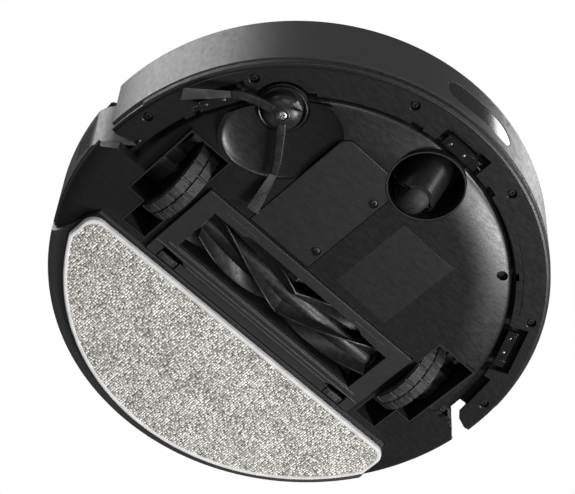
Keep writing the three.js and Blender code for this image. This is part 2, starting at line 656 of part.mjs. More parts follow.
// ---------------------------------------------------------------- battery, board and fan
function batteryCover() {
  const holes = COVER_SCREWS.flatMap(([x, y]) => [
    post(3.1, 0, PLATE_Z + 0.6, x, y, 16), post(1.5, 0, 30, x, y, 12)]);
  const casterCup = post(CASTER_CUP_R + GAP, 0, 60, CASTER.x, CASTER.y, 40);
  return cut(prism(bayOutline(0), PLATE_Z - 0.4, PLATE_Z + 2), casterCup, ...holes);
}

const COVER_SCREWS = [[13.5, 86], [13.5, 31]];

const batteryPack = () => prism(rounded([[19, 19, 4], [61, 19, 4], [61, 88, 4], [19, 88, 4]]), 13.2, 52);

const mainBoard = () =>
  cut(
    join(block(-70, 60, 56, 112, 60, 61.6), block(-40, -15, 70, 95, 61.4, 64), block(20, 50, 62, 74, 61.4, 66)),
    post(2, 50, 70, -64, 62, 12),
    post(2, 50, 70, 54, 106, 12),
  );

const FAN = { x: -45, y: 71, r: 34 };

// The suction fan's round case, open at the top for the air and at one side where it blows out.
function fanHousing() {
  const { x, y, r } = FAN;
  const body = join(post(r, 13.5, 46, x, y, 40), block(x - r - 12, x, y - r, y - r + 22, 13.5, 36));
  const inside = post(r - 2, 15.5, 44, x, y, 40);
  const outlet = block(x - r - 20, x, y - r + 2, y - r + 20, 15.5, 34);
  return cut(body, inside, outlet, post(16, 40, 60, x, y, 28));
}

function fanImpeller() {
  const { x, y } = FAN;
  const vanes = [];
  for (let i = 0; i < 9; i++) vanes.push(spunTo(block(8, 26, -0.7, 0.7, 22, 38), i * 40));
  return join(post(27, 20, 22.5, 0, 0, 32), post(9, 20, 40, 0, 0, 20), ...vanes).translate([x, y, 0]);
}

// ---------------------------------------------------------------- rear module and mop
function moduleShell() {
  const seat = turned([[0, MODULE.z], [165, MODULE.z], [171, MODULE.z + 2], [BODY_R, MODULE.z + 7],
    [BODY_R, 69], [0, 69]], 72);
  const body = seat.intersect(prism(moduleOutline(0), 0, 100, 24));
  const hollow = turned([[0, MODULE.z + 2.5], [163, MODULE.z + 2.5], [BODY_R - 3, MODULE.z + 9],
    [BODY_R - 3, 90], [0, 90]], 72).intersect(prism(moduleOutline(-3), 0, 100, 24));
  const mouth = block(-33, 33, MODULE.frontY - 10, MODULE.frontY + 10, 23, 44);
  const button = block(-13, 13, -BODY_R - 5, -BODY_R + 10, 52, 90);
  return cut(body, hollow, mouth, button);
}

// The dust box: an open-topped tray with the duct's mouth in its front wall.
function dustBox() {
  const [x, y0, y1, z0, z1] = [92, -116, MODULE.frontY - 3.6, MODULE.z + 3, 60];
  return cut(block(-x, x, y0, y1, z0, z1), block(-x + 2, x - 2, y0 + 2, y1 - 2, z0 + 2, z1 + 5),
    block(-31, 31, y1 - 5, y1 + 5, 25, 41));
}

// The lid of the dust box, with a frame that holds the filter.
const dustLid = () =>
  cut(block(-92, 92, -116, MODULE.frontY - 3.6, 60.3, 62.5), block(-40, 40, -108, -66, 50, 70));

// A pleated filter in its frame.
function dustFilter() {
  const pleats = [];
  for (let i = 0; i < 12; i++) pleats.push(block(-36 + i * 6, -33.4 + i * 6, -104, -70, 60, 64.5));
  return join(block(-39.6, 39.6, -107.6, -66.4, 62.6, 64), ...pleats);
}

function waterTank() {
  const crescent = (inset, z0, z1) =>
    turned([[0, z0], [BODY_R - 3.6 - inset, z0], [BODY_R - 3.6 - inset, z1], [0, z1]], 72)
      .intersect(block(-128 + inset, 128 - inset, -200, -117.5 - inset, 0, 100));
  const relief = block(-15.5, 15.5, -200, -158, 48, 90);
  const r1 = BODY_R - 3.6;
  const lower = turned([[0, 0], [160, 0], [160, 11.2], [r1, 18], [r1, 90], [0, 90]], 72);
  const outer = cut(crescent(0, 11.2, 60), relief).intersect(lower);
  const inner = cut(crescent(2.2, 13.5, 57.8).intersect(block(-110, 110, -158, -119.7, 18, 58)),
    block(-18, 18, -200, -155, 45, 90));
  return cut(outer, inner, post(7, 50, 70, 60, -132, 20));
}

const releaseButton = () => block(-12, 12, -172.5, -166.2, 53.5, 67.4);

const mopBracket = () => {
  const plate = prism(mopOutline(5), 5.4, 7.7, 24);
  const grooves = [-70, 0, 70].map((x) => block(x - 8, x + 8, -140, -75, 6.8, 9));
  return cut(plate, ...grooves);
};

const mopPad = () => prism(mopOutline(0), MOP.z, MOP.top, 24);

// ---------------------------------------------------------------- laser turret and buttons
function turretCover() {
  const { y, r } = TURRET;
  const wall = turned([[r - 3, 74.5], [r, 74.5], [r, TURRET_TOP - 2], [r - 2, TURRET_TOP], [0, TURRET_TOP],
    [0, TURRET_TOP - 2.5], [r - 3, TURRET_TOP - 2.5]], 48, 0, y);
  const slots = [];
  for (let i = 0; i < 3; i++) {
    slots.push(spunTo(block(0, 60, -30, 30, 83, 92), i * 120).translate([0, y, 0]));
  }
  return cut(wall, ...slots);
}

const turretBase = () =>
  cut(turned([[6, 73], [TURRET.r - 3.6, 73], [TURRET.r - 3.6, 75], [6, 75]], 48, 0, TURRET.y),
    post(3.6, 60, 90, 26, TURRET.y, 16));

function laserHead() {
  const head = join(post(32, 79, 91.5, 0, TURRET.y, 36), post(5.6, 69, 80, 0, TURRET.y, 20),
    post(14, 76, 78, 0, TURRET.y, 32));
  const [y0, y1] = [TURRET.y + 20, TURRET.y + 40];
  return cut(head, block(-12, -2, y0, y1, 82, 89), block(4, 16, y0, y1, 82, 89));
}

const topButton = (x) => post(7.8, 75.4, LID_TOP + 0.6, x, 128, 28);

// ---------------------------------------------------------------- assembly
add("base_plate", basePlate(), FINISH.body);
add("side_shell", sideShell(), FINISH.bumper);
add("top_deck", topDeck(), FINISH.inner);
add("top_cover", topCover(), FINISH.gloss);

for (const [side, place] of [["right", (s) => s], ["left", mirrorX]]) {
  add(`wheel_housing_${side}`, place(wheelHousing()), FINISH.inner);
  add(`suspension_arm_${side}`, place(suspensionArm()), FINISH.inner);
  add(`suspension_spring_${side}`, place(suspensionSpring()), FINISH.steel);
  add(`wheel_hub_${side}`, place(wheelHub()), FINISH.body);
  add(`tyre_${side}`, place(tyre()), FINISH.tyre);
  add(`brush_bearing_${side}`, place(brushBearing()), FINISH.body);
  add(`guard_latch_${side}`, place(guardLatch()), FINISH.body);
}

add("main_brush_sleeve", brushSleeve(), FINISH.rubber);
add("main_brush_core", brushCore(), FINISH.inner);
add("brush_chamber", brushChamber(), FINISH.inner);
add("brush_guard", brushGuard(), FINISH.body);
add("brush_motor", brushMotor(), FINISH.inner);

add("caster_socket", casterSocket(), FINISH.inner);
add("caster_fork", casterFork(), FINISH.body);
add("caster_wheel", casterWheel(), FINISH.rubber);
add("caster_axle", casterAxle(), FINISH.steel);

add("side_brush_hub", sideBrushHub(), FINISH.rubber);
BRUSH_ARMS.forEach((arm, i) => add(`side_brush_bristles_${i + 1}`, bristles(arm), FINISH.bristle));
add("side_brush_screw", sideBrushScrew(), FINISH.steel);
add("side_brush_motor", sideBrushMotor(), FINISH.inner);

add("bumper_shell", bumperShell(), FINISH.bumper);
add("bumper_flange", bumperFlange(), FINISH.body);
add("bumper_strip", bumperStrip(), FINISH.rubber);
add("bumper_window", bumperWindow(), FINISH.clear);

for (const name of Object.keys(SENSOR_ANGLES)) add(`drop_sensor_${name}`, dropSensor(name), FINISH.gloss);
add("battery_cover", batteryCover(), FINISH.body);
COVER_SCREWS.forEach(([x, y], i) => add(`battery_cover_screw_${i + 1}`, coverScrew(x, y), FINISH.steel));

add("battery_pack", batteryPack(), FINISH.cell);
add("main_board", mainBoard(), FINISH.board);
add("fan_housing", fanHousing(), FINISH.inner);
add("fan_impeller", fanImpeller(), FINISH.body);

add("module_shell", moduleShell(), FINISH.body);
add("dust_box", dustBox(), FINISH.clear);
add("dust_lid", dustLid(), FINISH.body);
add("dust_filter", dustFilter(), FINISH.fabric);
add("water_tank", waterTank(), FINISH.clear);
add("release_button", releaseButton(), FINISH.gloss);
add("mop_bracket", mopBracket(), FINISH.body);
add("mop_pad", mopPad(), FINISH.fabric);

add("turret_cover", turretCover(), FINISH.gloss);
add("turret_base", turretBase(), FINISH.inner);
add("laser_head", laserHead(), FINISH.inner);
add("power_button", topButton(-14), FINISH.gloss);
add("home_button", topButton(14), FINISH.gloss);

export default robot;
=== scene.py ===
"""The looks of a round robot vacuum with a rear mop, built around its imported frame.

Sizes are in millimetres in the row frame: the origin is on the floor below the centre of the round
body, +Y is the way the robot drives and +Z is up. Meshes are brought to metres as they are finished.
"""
import json
import logging
import math
from dataclasses import dataclass
from enum import Enum

import bmesh
import bpy
from mathutils import Matrix, Vector, noise


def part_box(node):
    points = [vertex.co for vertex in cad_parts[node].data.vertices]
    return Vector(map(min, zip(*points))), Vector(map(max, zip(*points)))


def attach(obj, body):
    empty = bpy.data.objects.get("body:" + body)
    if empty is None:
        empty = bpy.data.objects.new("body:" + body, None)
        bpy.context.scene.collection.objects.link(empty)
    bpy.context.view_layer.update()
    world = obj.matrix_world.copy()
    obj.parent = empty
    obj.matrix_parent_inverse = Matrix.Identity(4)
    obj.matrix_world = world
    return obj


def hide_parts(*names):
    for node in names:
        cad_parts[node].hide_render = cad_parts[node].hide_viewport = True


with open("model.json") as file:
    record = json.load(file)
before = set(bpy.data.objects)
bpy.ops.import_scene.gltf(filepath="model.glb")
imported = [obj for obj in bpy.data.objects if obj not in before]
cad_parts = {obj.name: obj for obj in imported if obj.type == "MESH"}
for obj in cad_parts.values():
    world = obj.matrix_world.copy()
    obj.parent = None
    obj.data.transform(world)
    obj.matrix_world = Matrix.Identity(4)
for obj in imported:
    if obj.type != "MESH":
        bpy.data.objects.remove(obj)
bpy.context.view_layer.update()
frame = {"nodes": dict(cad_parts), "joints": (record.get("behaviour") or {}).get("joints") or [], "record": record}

LOG = logging.getLogger("robot_vacuum")
TO_METRES = 0.001
# A band pattern at scale 1 repeats every 0.314 m.
BAND_PERIOD = 0.314

Point = tuple[float, float]
Triple = tuple[float, float, float]


# ---------------------------------------------------------------- what the frame says
@dataclass(frozen=True)
class Span:
    """The box of a frame node at rest, in millimetres."""

    low: Vector
    high: Vector

    @classmethod
    def of(cls, node: str) -> "Span":
        """Read the box of one node from the frame.

        Args:
            node: The node's name.

        Returns:
            The node's lowest and highest corners.
        """
        low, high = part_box(node)
        return cls(low / TO_METRES, high / TO_METRES)

    @property
    def middle(self) -> Vector:
        """The centre of the box."""
        return (self.low + self.high) / 2


def joint_point(name: str) -> Vector:
    """Find where a hinge's axis lies.

    Args:
        name: The joint's name.

    Returns:
        A point on its axis, in millimetres.
    """
    found = next(j for j in frame["joints"] if j["name"] == name)
    return Vector(found["pos_m"]) / TO_METRES


# ---------------------------------------------------------------- node materials
class Recipe:
    """A node material while it is being put together."""

    def __init__(self, name: str) -> None:
        """Start a material with an empty Principled shader.

        Args:
            name: The material's name.
        """
        self.material = bpy.data.materials.new(name)
        self.material.use_nodes = True
        self.tree = self.material.node_tree
        self.shader = self.tree.nodes["Principled BSDF"]
        self.place = self.add("ShaderNodeTexCoord").outputs["Object"]

    def add(self, kind: str, inputs: dict | None = None, **settings: object) -> bpy.types.Node:
        """Add one node.

        Args:
            kind: The node's type.
            inputs: Socket values, or sockets to link from, by socket name or index.
            **settings: Properties of the node itself.

        Returns:
            The new node.
        """
        node = self.tree.nodes.new(kind)
        for key, value in settings.items():
            setattr(node, key, value)
        for key, value in (inputs or {}).items():
            if isinstance(value, bpy.types.NodeSocket):
                self.tree.links.new(value, node.inputs[key])
            else:
                node.inputs[key].default_value = value
        return node

    def feed(self, socket: str, source: bpy.types.NodeSocket) -> None:
        """Link a source to one of the shader's sockets."""
        self.tree.links.new(source, self.shader.inputs[socket])

    def surface(self, **values: float | tuple) -> None:
        """Set plain values on the shader, with underscores for the spaces in socket names."""
        for key, value in values.items():
            self.shader.inputs[key.replace("_", " ")].default_value = value

    def cloud(self, size: float, detail: float = 3.0, stretch: Triple = (1, 1, 1)) -> bpy.types.NodeSocket:
        """Make a soft noise whose features have a real size.

        Args:
            size: The size of a feature, in metres.
            detail: Octaves of finer noise.
            stretch: How much denser the noise is along each axis.

        Returns:
            The noise's factor socket.
        """
        place = self.add("ShaderNodeMapping", {"Vector": self.place, "Scale": stretch})
        made = self.add("ShaderNodeTexNoise", {"Vector": place.outputs[0], "Scale": 1 / size,
                                               "Detail": detail})
        return made.outputs[0]

    def between(self, source: bpy.types.NodeSocket, low: float, high: float,
                source_low: float = 0.3, source_high: float = 0.7) -> bpy.types.NodeSocket:
        """Map a factor to a range.

        Args:
            source: The factor.
            low: Result at source_low.
            high: Result at source_high.
            source_low: Lower end of the factor's range.
            source_high: Upper end of the factor's range.

        Returns:
            The mapped value's socket.
        """
        made = self.add("ShaderNodeMapRange", {0: source, 1: source_low, 2: source_high, 3: low, 4: high})
        return made.outputs[0]

    def blend(self, factor: bpy.types.NodeSocket, first: Triple, second: Triple) -> bpy.types.NodeSocket:
        """Mix two colours by a factor.

        Args:
            factor: The mix factor's socket.
            first: Colour at factor 0.
            second: Colour at factor 1.

        Returns:
            The mixed colour's socket.
        """
        made = self.add("ShaderNodeMix", {0: factor, 6: (*first, 1), 7: (*second, 1)}, data_type="RGBA")
        return made.outputs[2]

    def relief(self, height: bpy.types.NodeSocket, depth: float, strength: float = 1.0,
               under: bpy.types.NodeSocket | None = None) -> bpy.types.NodeSocket:
        """Bend the normal by a height.

        Args:
            height: The height's socket, from 0 to 1.
            depth: The height of a full step, in metres.
            strength: How much of it shows.
            under: A normal to bend further.

        Returns:
            The bent normal's socket.
        """
        inputs = {"Height": height, "Distance": depth, "Strength": strength}
        if under is not None:
            inputs["Normal"] = under
        return self.add("ShaderNodeBump", inputs).outputs[0]


def shade(colour: Triple, factor: float) -> Triple:
    """Make a colour lighter or darker by a factor."""
    return tuple(min(1.0, channel * factor) for channel in colour)


@dataclass(frozen=True)
class MouldedPlastic:
    """A moulded plastic with a fine spark-eroded grain and faint handling marks."""

    name: str
    colour: Triple
    roughness: float
    grain: float = 0.0005
    relief: float = 0.00003
    mottle: float = 0.12

    def build(self) -> bpy.types.Material:
        """Build the material's nodes."""
        recipe = Recipe(self.name)
        recipe.surface(Specular_IOR_Level=0.5)
        broad = recipe.cloud(0.045, 4)
        tone = recipe.between(broad, 0.0, 1.0)
        recipe.feed("Base Color", recipe.blend(tone, shade(self.colour, 1 - self.mottle),
                                               shade(self.colour, 1 + self.mottle)))
        marks = recipe.cloud(0.006, 6, (1, 3, 1))
        recipe.feed("Roughness", recipe.between(marks, self.roughness - 0.05, self.roughness + 0.06))
        texture = recipe.add("ShaderNodeTexVoronoi", {"Vector": recipe.place, "Scale": 1 / self.grain})
        recipe.feed("Normal", recipe.relief(texture.outputs["Distance"], self.relief, 0.5))
        return recipe.material


@dataclass(frozen=True)
class PolishedPlastic:
    """A smooth plastic with a clear gloss, fine hair scratches and a little dust."""

    name: str
    colour: Triple
    roughness: float = 0.1
    coat: float = 0.6

    def build(self) -> bpy.types.Material:
        """Build the material's nodes."""
        recipe = Recipe(self.name)
        recipe.surface(Coat_Weight=self.coat, Coat_Roughness=0.06, Specular_IOR_Level=0.5)
        dust = recipe.cloud(0.0011, 2)
        recipe.feed("Base Color", recipe.blend(recipe.between(dust, 0, 1, 0.66, 0.78), self.colour,
                                               shade(self.colour, 2.2)))
        scratches = recipe.cloud(0.0025, 5, (1, 22, 1))
        recipe.feed("Roughness", recipe.between(scratches, self.roughness, self.roughness + 0.09, 0.5, 0.8))
        recipe.feed("Normal", recipe.relief(recipe.cloud(0.02, 2), 0.0001, 0.25))
        return recipe.material


@dataclass(frozen=True)
class SoftRubber:
    """A matt rubber with a fine ribbed or pebbled skin and pale dust in soft patches."""

    name: str
    colour: Triple
    roughness: float = 0.7
    ribs: Triple | None = None
    rib_pitch: float = 0.0011

    def build(self) -> bpy.types.Material:
        """Build the material's nodes."""
        recipe = Recipe(self.name)
        recipe.surface(Specular_IOR_Level=0.35)
        dust = recipe.between(recipe.cloud(0.004, 6), 0, 1, 0.45, 0.75)
        recipe.feed("Base Color", recipe.blend(dust, shade(self.colour, 0.85), shade(self.colour, 1.5)))
        recipe.feed("Roughness", recipe.between(dust, self.roughness - 0.08, self.roughness + 0.12, 0, 1))
        normal = recipe.relief(recipe.cloud(0.0006, 3), 0.00008, 0.7)
        if self.ribs is not None:
            place = recipe.add("ShaderNodeMapping", {"Vector": recipe.place, "Scale": self.ribs})
            wave = recipe.add("ShaderNodeTexWave", {"Vector": place.outputs[0], "Distortion": 0.3,
                                                    "Scale": BAND_PERIOD / self.rib_pitch},
                              wave_type="BANDS", bands_direction="X", wave_profile="SIN")
            normal = recipe.relief(wave.outputs["Fac"], 0.0003, 0.8, normal)
        recipe.feed("Normal", normal)
        return recipe.material


@dataclass(frozen=True)
class TurnedMetal:
    """A bright plated metal with fine turning marks and dulled patches."""

    name: str
    colour: Triple
    roughness: float = 0.28

    def build(self) -> bpy.types.Material:
        """Build the material's nodes."""
        recipe = Recipe(self.name)
        recipe.surface(Metallic=1.0)
        dull = recipe.cloud(0.0015, 5)
        recipe.feed("Base Color", recipe.blend(recipe.between(dull, 0, 1), shade(self.colour, 0.7),
                                               self.colour))
        recipe.feed("Roughness", recipe.between(dull, self.roughness, self.roughness + 0.2))
        recipe.feed("Normal", recipe.relief(recipe.cloud(0.0004, 3, (1, 1, 6)), 0.00004, 0.6))
        return recipe.material


@dataclass(frozen=True)
class LoopedCloth:
    """A short looped microfibre in mixed greys, knitted in rows along the robot, with painted shade in the gaps
    between loops and between rows.
    """

    name: str
    painted_gap_shade: Triple
    light: Triple
    loop: float = 0.0016

    def build(self) -> bpy.types.Material:
        """Build the material's nodes."""
        recipe = Recipe(self.name)
        recipe.surface(Specular_IOR_Level=0.2, Sheen_Weight=0.25, Sheen_Roughness=0.5, Roughness=0.95)
        stitches = recipe.add("ShaderNodeMapping", {"Vector": recipe.place, "Scale": (1, 1.25, 1)}).outputs[0]
        loops = recipe.add("ShaderNodeTexVoronoi", {"Vector": stitches, "Scale": 1 / self.loop,
                                                    "Randomness": 0.55})
        yarn = recipe.add("ShaderNodeSeparateColor", {0: loops.outputs["Color"]})
        pick = recipe.between(yarn.outputs[0], 0.0, 1.0, 0.05, 0.9)
        rows = recipe.add("ShaderNodeTexWave", {"Vector": stitches, "Scale": BAND_PERIOD / self.loop,
                                                "Distortion": 1.2, "Detail": 2}, bands_direction="X")
        gap = recipe.between(loops.outputs["Distance"], 1.0, 0.0, 0.3, 0.72)
        ridge = recipe.between(rows.outputs["Fac"], 0.6, 1.0, 0, 0.7)
        depth = recipe.add("ShaderNodeMath", {0: gap, 1: ridge}, operation="MULTIPLY")
        plain = recipe.blend(pick, shade(self.light, 0.5), self.light)
        # Painted shade: the gap colour fills the hollows between loops and between rows, where the bump dips.
        mixed = recipe.add("ShaderNodeMix", {0: depth.outputs[0], 6: (*self.painted_gap_shade, 1), 7: plain},
                           data_type="RGBA")
        recipe.feed("Base Color", mixed.outputs[2])
        normal = recipe.relief(depth.outputs[0], 0.0008, 0.8)
        recipe.feed("Normal", recipe.relief(recipe.cloud(0.0003, 3), 0.0002, 0.6, normal))
        return recipe.material


@dataclass(frozen=True)
class WovenTape:
    """A pale woven binding tape with a fine cross rib."""

    name: str
    colour: Triple
    weave: float = 0.0007

    def build(self) -> bpy.types.Material:
        """Build the material's nodes."""
        recipe = Recipe(self.name)
        recipe.surface(Specular_IOR_Level=0.25, Sheen_Weight=0.2, Roughness=0.85)
        soil = recipe.cloud(0.012, 5)
        recipe.feed("Base Color", recipe.blend(recipe.between(soil, 0, 1), shade(self.colour, 0.82),
                                               self.colour))
        weave = recipe.add("ShaderNodeTexVoronoi", {"Vector": recipe.place, "Scale": 1 / self.weave,
                                                    "Randomness": 0.25}, distance="CHEBYCHEV")
        recipe.feed("Normal", recipe.relief(weave.outputs["Distance"], 0.0003, 0.7))
        return recipe.material


@dataclass(frozen=True)
class NylonTuft:
    """Straight nylon bristles lying side by side."""

    name: str
    colour: Triple

    def build(self) -> bpy.types.Material:
        """Build the material's nodes."""
        recipe = Recipe(self.name)
        recipe.surface(Specular_IOR_Level=0.5, Anisotropic=0.5)
        strands = recipe.add("ShaderNodeTexNoise", {"Vector": recipe.place, "Scale": 900.0, "Detail": 2.0})
        recipe.feed("Base Color", recipe.blend(recipe.between(strands.outputs[0], 0, 1),
                                               shade(self.colour, 0.7), shade(self.colour, 1.35)))
        recipe.feed("Roughness", recipe.between(recipe.cloud(0.005, 3), 0.4, 0.6))
        recipe.feed("Normal", recipe.relief(strands.outputs[0], 0.0001, 0.5))
        return recipe.material


class Look(Enum):
    """Every finish on the robot."""

    BODY = MouldedPlastic("underbody_plastic", (0.0080, 0.0080, 0.0083), 0.33)
    LABEL = MouldedPlastic("blank_field_plastic", (0.006, 0.006, 0.0062), 0.46, 0.0003, 0.00002, 0.05)
    DOOR = MouldedPlastic("battery_door_plastic", (0.011, 0.011, 0.0113), 0.44, 0.0003, 0.00002, 0.05)
    # Flat black for painted shade: pieces set where there would only be shade.
    SHADOW = MouldedPlastic("painted_shade_black", (0.003, 0.003, 0.003), 0.8)
    WALL = MouldedPlastic("satin_wall_plastic", (0.046, 0.0465, 0.047), 0.40, 0.0004, 0.00002, 0.05)
    FRAME = MouldedPlastic("brush_frame_plastic", (0.019, 0.019, 0.0195), 0.42)
    INNER = MouldedPlastic("inner_plastic", (0.006, 0.006, 0.0065), 0.55, 0.0009, 0.00006)
    GLOSS = PolishedPlastic("polished_black_plastic", (0.008, 0.008, 0.009))
    LID = MouldedPlastic("lid_plastic", (0.020, 0.020, 0.021), 0.30, 0.0003, 0.000015, 0.06)
    WINDOW = PolishedPlastic("smoked_window", (0.010, 0.010, 0.011), 0.13, 0.3)
    RUBBER = SoftRubber("soft_rubber", (0.016, 0.016, 0.0165), 0.62)
    ARM = SoftRubber("side_brush_rubber", (0.022, 0.022, 0.022), 0.34)
    BLADE = SoftRubber("brush_blade_rubber", (0.011, 0.011, 0.0112), 0.42)
    TYRE = SoftRubber("tyre_rubber", (0.045, 0.045, 0.045), 0.46, (1, 0, 0))
    # The first colour is painted shade for the gaps between the cloth's loops; the second is the yarn.
    CLOTH = LoopedCloth("looped_mop_cloth", (0.085, 0.082, 0.076), (1.0, 0.975, 0.935), 0.0018)
    TAPE = WovenTape("binding_tape", (0.58, 0.58, 0.575))
    FILTER = WovenTape("pleated_filter_paper", (0.62, 0.60, 0.55))
    TUFT = NylonTuft("nylon_bristle", (0.036, 0.036, 0.036))
    STEEL = TurnedMetal("plated_steel", (0.60, 0.61, 0.62))
    BLACK_STEEL = TurnedMetal("black_screw_steel", (0.06, 0.06, 0.062), 0.36)
    BOARD = PolishedPlastic("solder_mask", (0.010, 0.085, 0.045), 0.3, 0.2)
    CELL = PolishedPlastic("shrink_wrap", (0.02, 0.02, 0.022), 0.25, 0.4)

    def material(self) -> bpy.types.Material:
        """Return this finish's material, built on first use."""
        return bpy.data.materials.get(self.value.name) or self.value.build()


# The finish that each material slot of the record gets on a frame node that stays in view.
SLOT_LOOKS = {"body": Look.BODY, "bumper": Look.WALL, "gloss": Look.GLOSS, "inner": Look.INNER,
              "rubber": Look.RUBBER, "tyre": Look.TYRE, "fabric": Look.FILTER, "steel": Look.STEEL,
              "board": Look.BOARD, "cell": Look.CELL, "clear": Look.WINDOW, "bristle": Look.TUFT}


# ---------------------------------------------------------------- modelling
def arc(centre: Point, radius: float, start: float, end: float, steps: int) -> list[Point]:
    """Lay points along an arc.

    Args:
        centre: The arc's centre.
        radius: Its radius.
        start: First angle, in degrees.
        end: Last angle, in degrees.
        steps: Number of stretches between points.

    Returns:
        The points, both ends included.
    """
    angles = [math.radians(start + (end - start) * i / steps) for i in range(steps + 1)]
    return [(centre[0] + radius * math.cos(a), centre[1] + radius * math.sin(a)) for a in angles]


def ellipse(centre: Point, across: float, along: float, steps: int) -> list[Point]:
    """Lay points round an ellipse, given its centre and half sizes."""
    angles = (math.tau * i / steps for i in range(steps))
    return [(centre[0] + across * math.cos(a), centre[1] + along * math.sin(a)) for a in angles]


def rectangle(x0: float, x1: float, y0: float, y1: float) -> list[Point]:
    """List the corners of a rectangle."""
    return [(x0, y0), (x1, y0), (x1, y1), (x0, y1)]


def filleted(corners: list[Point], radius: float, steps: int = 5) -> list[Point]:
    """Round every corner of an outline.

    Args:
        corners: The outline's corners in order.
        radius: How far along each side a rounding starts.
        steps: Points on each rounding.

    Returns:
        The rounded outline.
    """
    points = []
    for i, corner in enumerate(corners):
        here = Vector(corner)
        before = here + (Vector(corners[i - 1]) - here).normalized() * radius
        after = here + (Vector(corners[(i + 1) % len(corners)]) - here).normalized() * radius
        for k in range(steps + 1):
            t = k / steps
            points.append(tuple((1 - t) ** 2 * before + 2 * t * (1 - t) * here + t * t * after))
    return points


def mirrored(points: list[Point]) -> list[Point]:
    """Mirror an outline in the robot's middle plane."""
    return [(-x, y) for x, y in points]


def finish_mesh(bm: bmesh.types.BMesh, name: str, sharp: float = 32) -> bpy.types.Object:
    """Turn a bmesh in millimetres into an object in metres.

    Args:
        bm: The mesh, which is freed.
        name: The object's name.
        sharp: Edges that bend by more than this many degrees stay sharp.

    Returns:
        The new object, in the scene.
    """
    bmesh.ops.remove_doubles(bm, verts=bm.verts, dist=1e-4)
    bmesh.ops.recalc_face_normals(bm, faces=bm.faces)
    bmesh.ops.scale(bm, vec=(TO_METRES,) * 3, verts=bm.verts)
    mesh = bpy.data.meshes.new(name)
    bm.to_mesh(mesh)
    bm.free()
    shade_by_angle(mesh, sharp)
    piece = bpy.data.objects.new(name, mesh)
    bpy.context.scene.collection.objects.link(piece)
    return piece


def shade_by_angle(mesh: bpy.types.Mesh, sharp: float) -> None:
    """Smooth a mesh except at edges that bend by more than an angle in degrees."""
    mesh.polygons.foreach_set("use_smooth", [True] * len(mesh.polygons))
    mesh.set_sharp_from_angle(angle=math.radians(sharp))


def spun(name: str, profile: list[Point], centre: Point = (0, 0), start: float = 0, sweep: float = 360,
         steps: int = 96) -> bpy.types.Object:
    """Spin a profile about an upright axis.

    Args:
        name: The object's name.
        profile: Radius and height pairs, which start and end on the axis or close on themselves.
        centre: Where the axis stands.
        start: The angle where the spin starts, in degrees.
        sweep: How far it goes, in degrees.
        steps: Number of segments.

    Returns:
        A closed solid.
    """
    bm = bmesh.new()
    line = [bm.verts.new((r, 0, z)) for r, z in profile]
    on_axis = profile[0][0] == 0 and profile[-1][0] == 0
    pairs = list(zip(line, line[1:])) + ([] if on_axis else [(line[-1], line[0])])
    edges = [bm.edges.new(pair) for pair in pairs]
    full = sweep == 360
    bmesh.ops.rotate(bm, verts=bm.verts, matrix=Matrix.Rotation(math.radians(start), 3, "Z"))
    bmesh.ops.spin(bm, geom=line + edges, cent=(0, 0, 0), axis=(0, 0, 1), angle=math.radians(sweep),
                   steps=steps, use_merge=full)
    bmesh.ops.remove_doubles(bm, verts=bm.verts, dist=1e-4)
    if not full:
        bmesh.ops.holes_fill(bm, edges=[e for e in bm.edges if e.is_boundary], sides=0)
    bmesh.ops.translate(bm, vec=(*centre, 0), verts=bm.verts)
    return finish_mesh(bm, name)


def spun_along_x(name: str, profile: list[Point], y: float, z: float, steps: int = 64) -> bpy.types.Object:
    """Spin a profile of radius and x pairs about an axis along X at y, z."""
    piece = spun(name, profile, steps=steps)
    turn = Matrix.Rotation(math.radians(90), 4, "Y")
    piece.data.transform(Matrix.Translation(Vector((0, y, z)) * TO_METRES) @ turn)
    return piece


def rod(name: str, radius: float, z0: float, z1: float, centre: Point = (0, 0),
        steps: int = 96) -> bpy.types.Object:
    """Make an upright round bar between two heights."""
    return spun(name, [(0, z0), (radius, z0), (radius, z1), (0, z1)], centre, steps=steps)


def hoop(name: str, r0: float, r1: float, z0: float, z1: float, **turn: float) -> bpy.types.Object:
    """Spin a plain section between two radii and two heights about the robot's middle."""
    return spun(name, [(r0, z0), (r1, z0), (r1, z1), (r0, z1)], **turn)


def plate(name: str, outline: list[Point], z0: float, z1: float) -> bpy.types.Object:
    """Extrude an outline between two heights."""
    bm = bmesh.new()
    face = bm.faces.new([bm.verts.new((x, y, z0)) for x, y in outline])
    risen = bmesh.ops.extrude_face_region(bm, geom=[face])
    top = [g for g in risen["geom"] if isinstance(g, bmesh.types.BMVert)]
    bmesh.ops.translate(bm, vec=(0, 0, z1 - z0), verts=top)
    return finish_mesh(bm, name)


def block(name: str, low: Triple, high: Triple) -> bpy.types.Object:
    """Make a box between two corners."""
    bm = bmesh.new()
    size = Vector(high) - Vector(low)
    bmesh.ops.create_cube(bm, size=1, matrix=Matrix.Translation((Vector(low) + Vector(high)) / 2)
                          @ Matrix.Diagonal((*size, 1)))
    return finish_mesh(bm, name)


def bar(name: str, a: Triple, b: Triple, radius: float, steps: int) -> bpy.types.Object:
    """Make a round bar from one point to another."""
    run = Vector(b) - Vector(a)
    middle = Matrix.Translation((Vector(a) + Vector(b)) / 2)
    bm = bmesh.new()
    bmesh.ops.create_cone(
        bm, cap_ends=True, segments=steps, radius1=radius, radius2=radius, depth=run.length,
        matrix=middle @ run.to_track_quat("Z", "Y").to_matrix().to_4x4())
    return finish_mesh(bm, name)


def spin_piece(piece: bpy.types.Object, degrees: float, centre: Triple = (0, 0, 0),
               axis: str = "Z") -> bpy.types.Object:
    """Turn a piece's mesh about an axis through a point."""
    at = Vector(centre) * TO_METRES
    turn = Matrix.Rotation(math.radians(degrees), 4, axis)
    piece.data.transform(Matrix.Translation(at) @ turn @ Matrix.Translation(-at))
    return piece


def twin(piece: bpy.types.Object, name: str) -> bpy.types.Object:
    """Copy a piece, with a mesh of its own."""
    copy = piece.copy()
    copy.data = piece.data.copy()
    copy.name = name
    bpy.context.scene.collection.objects.link(copy)
    return copy


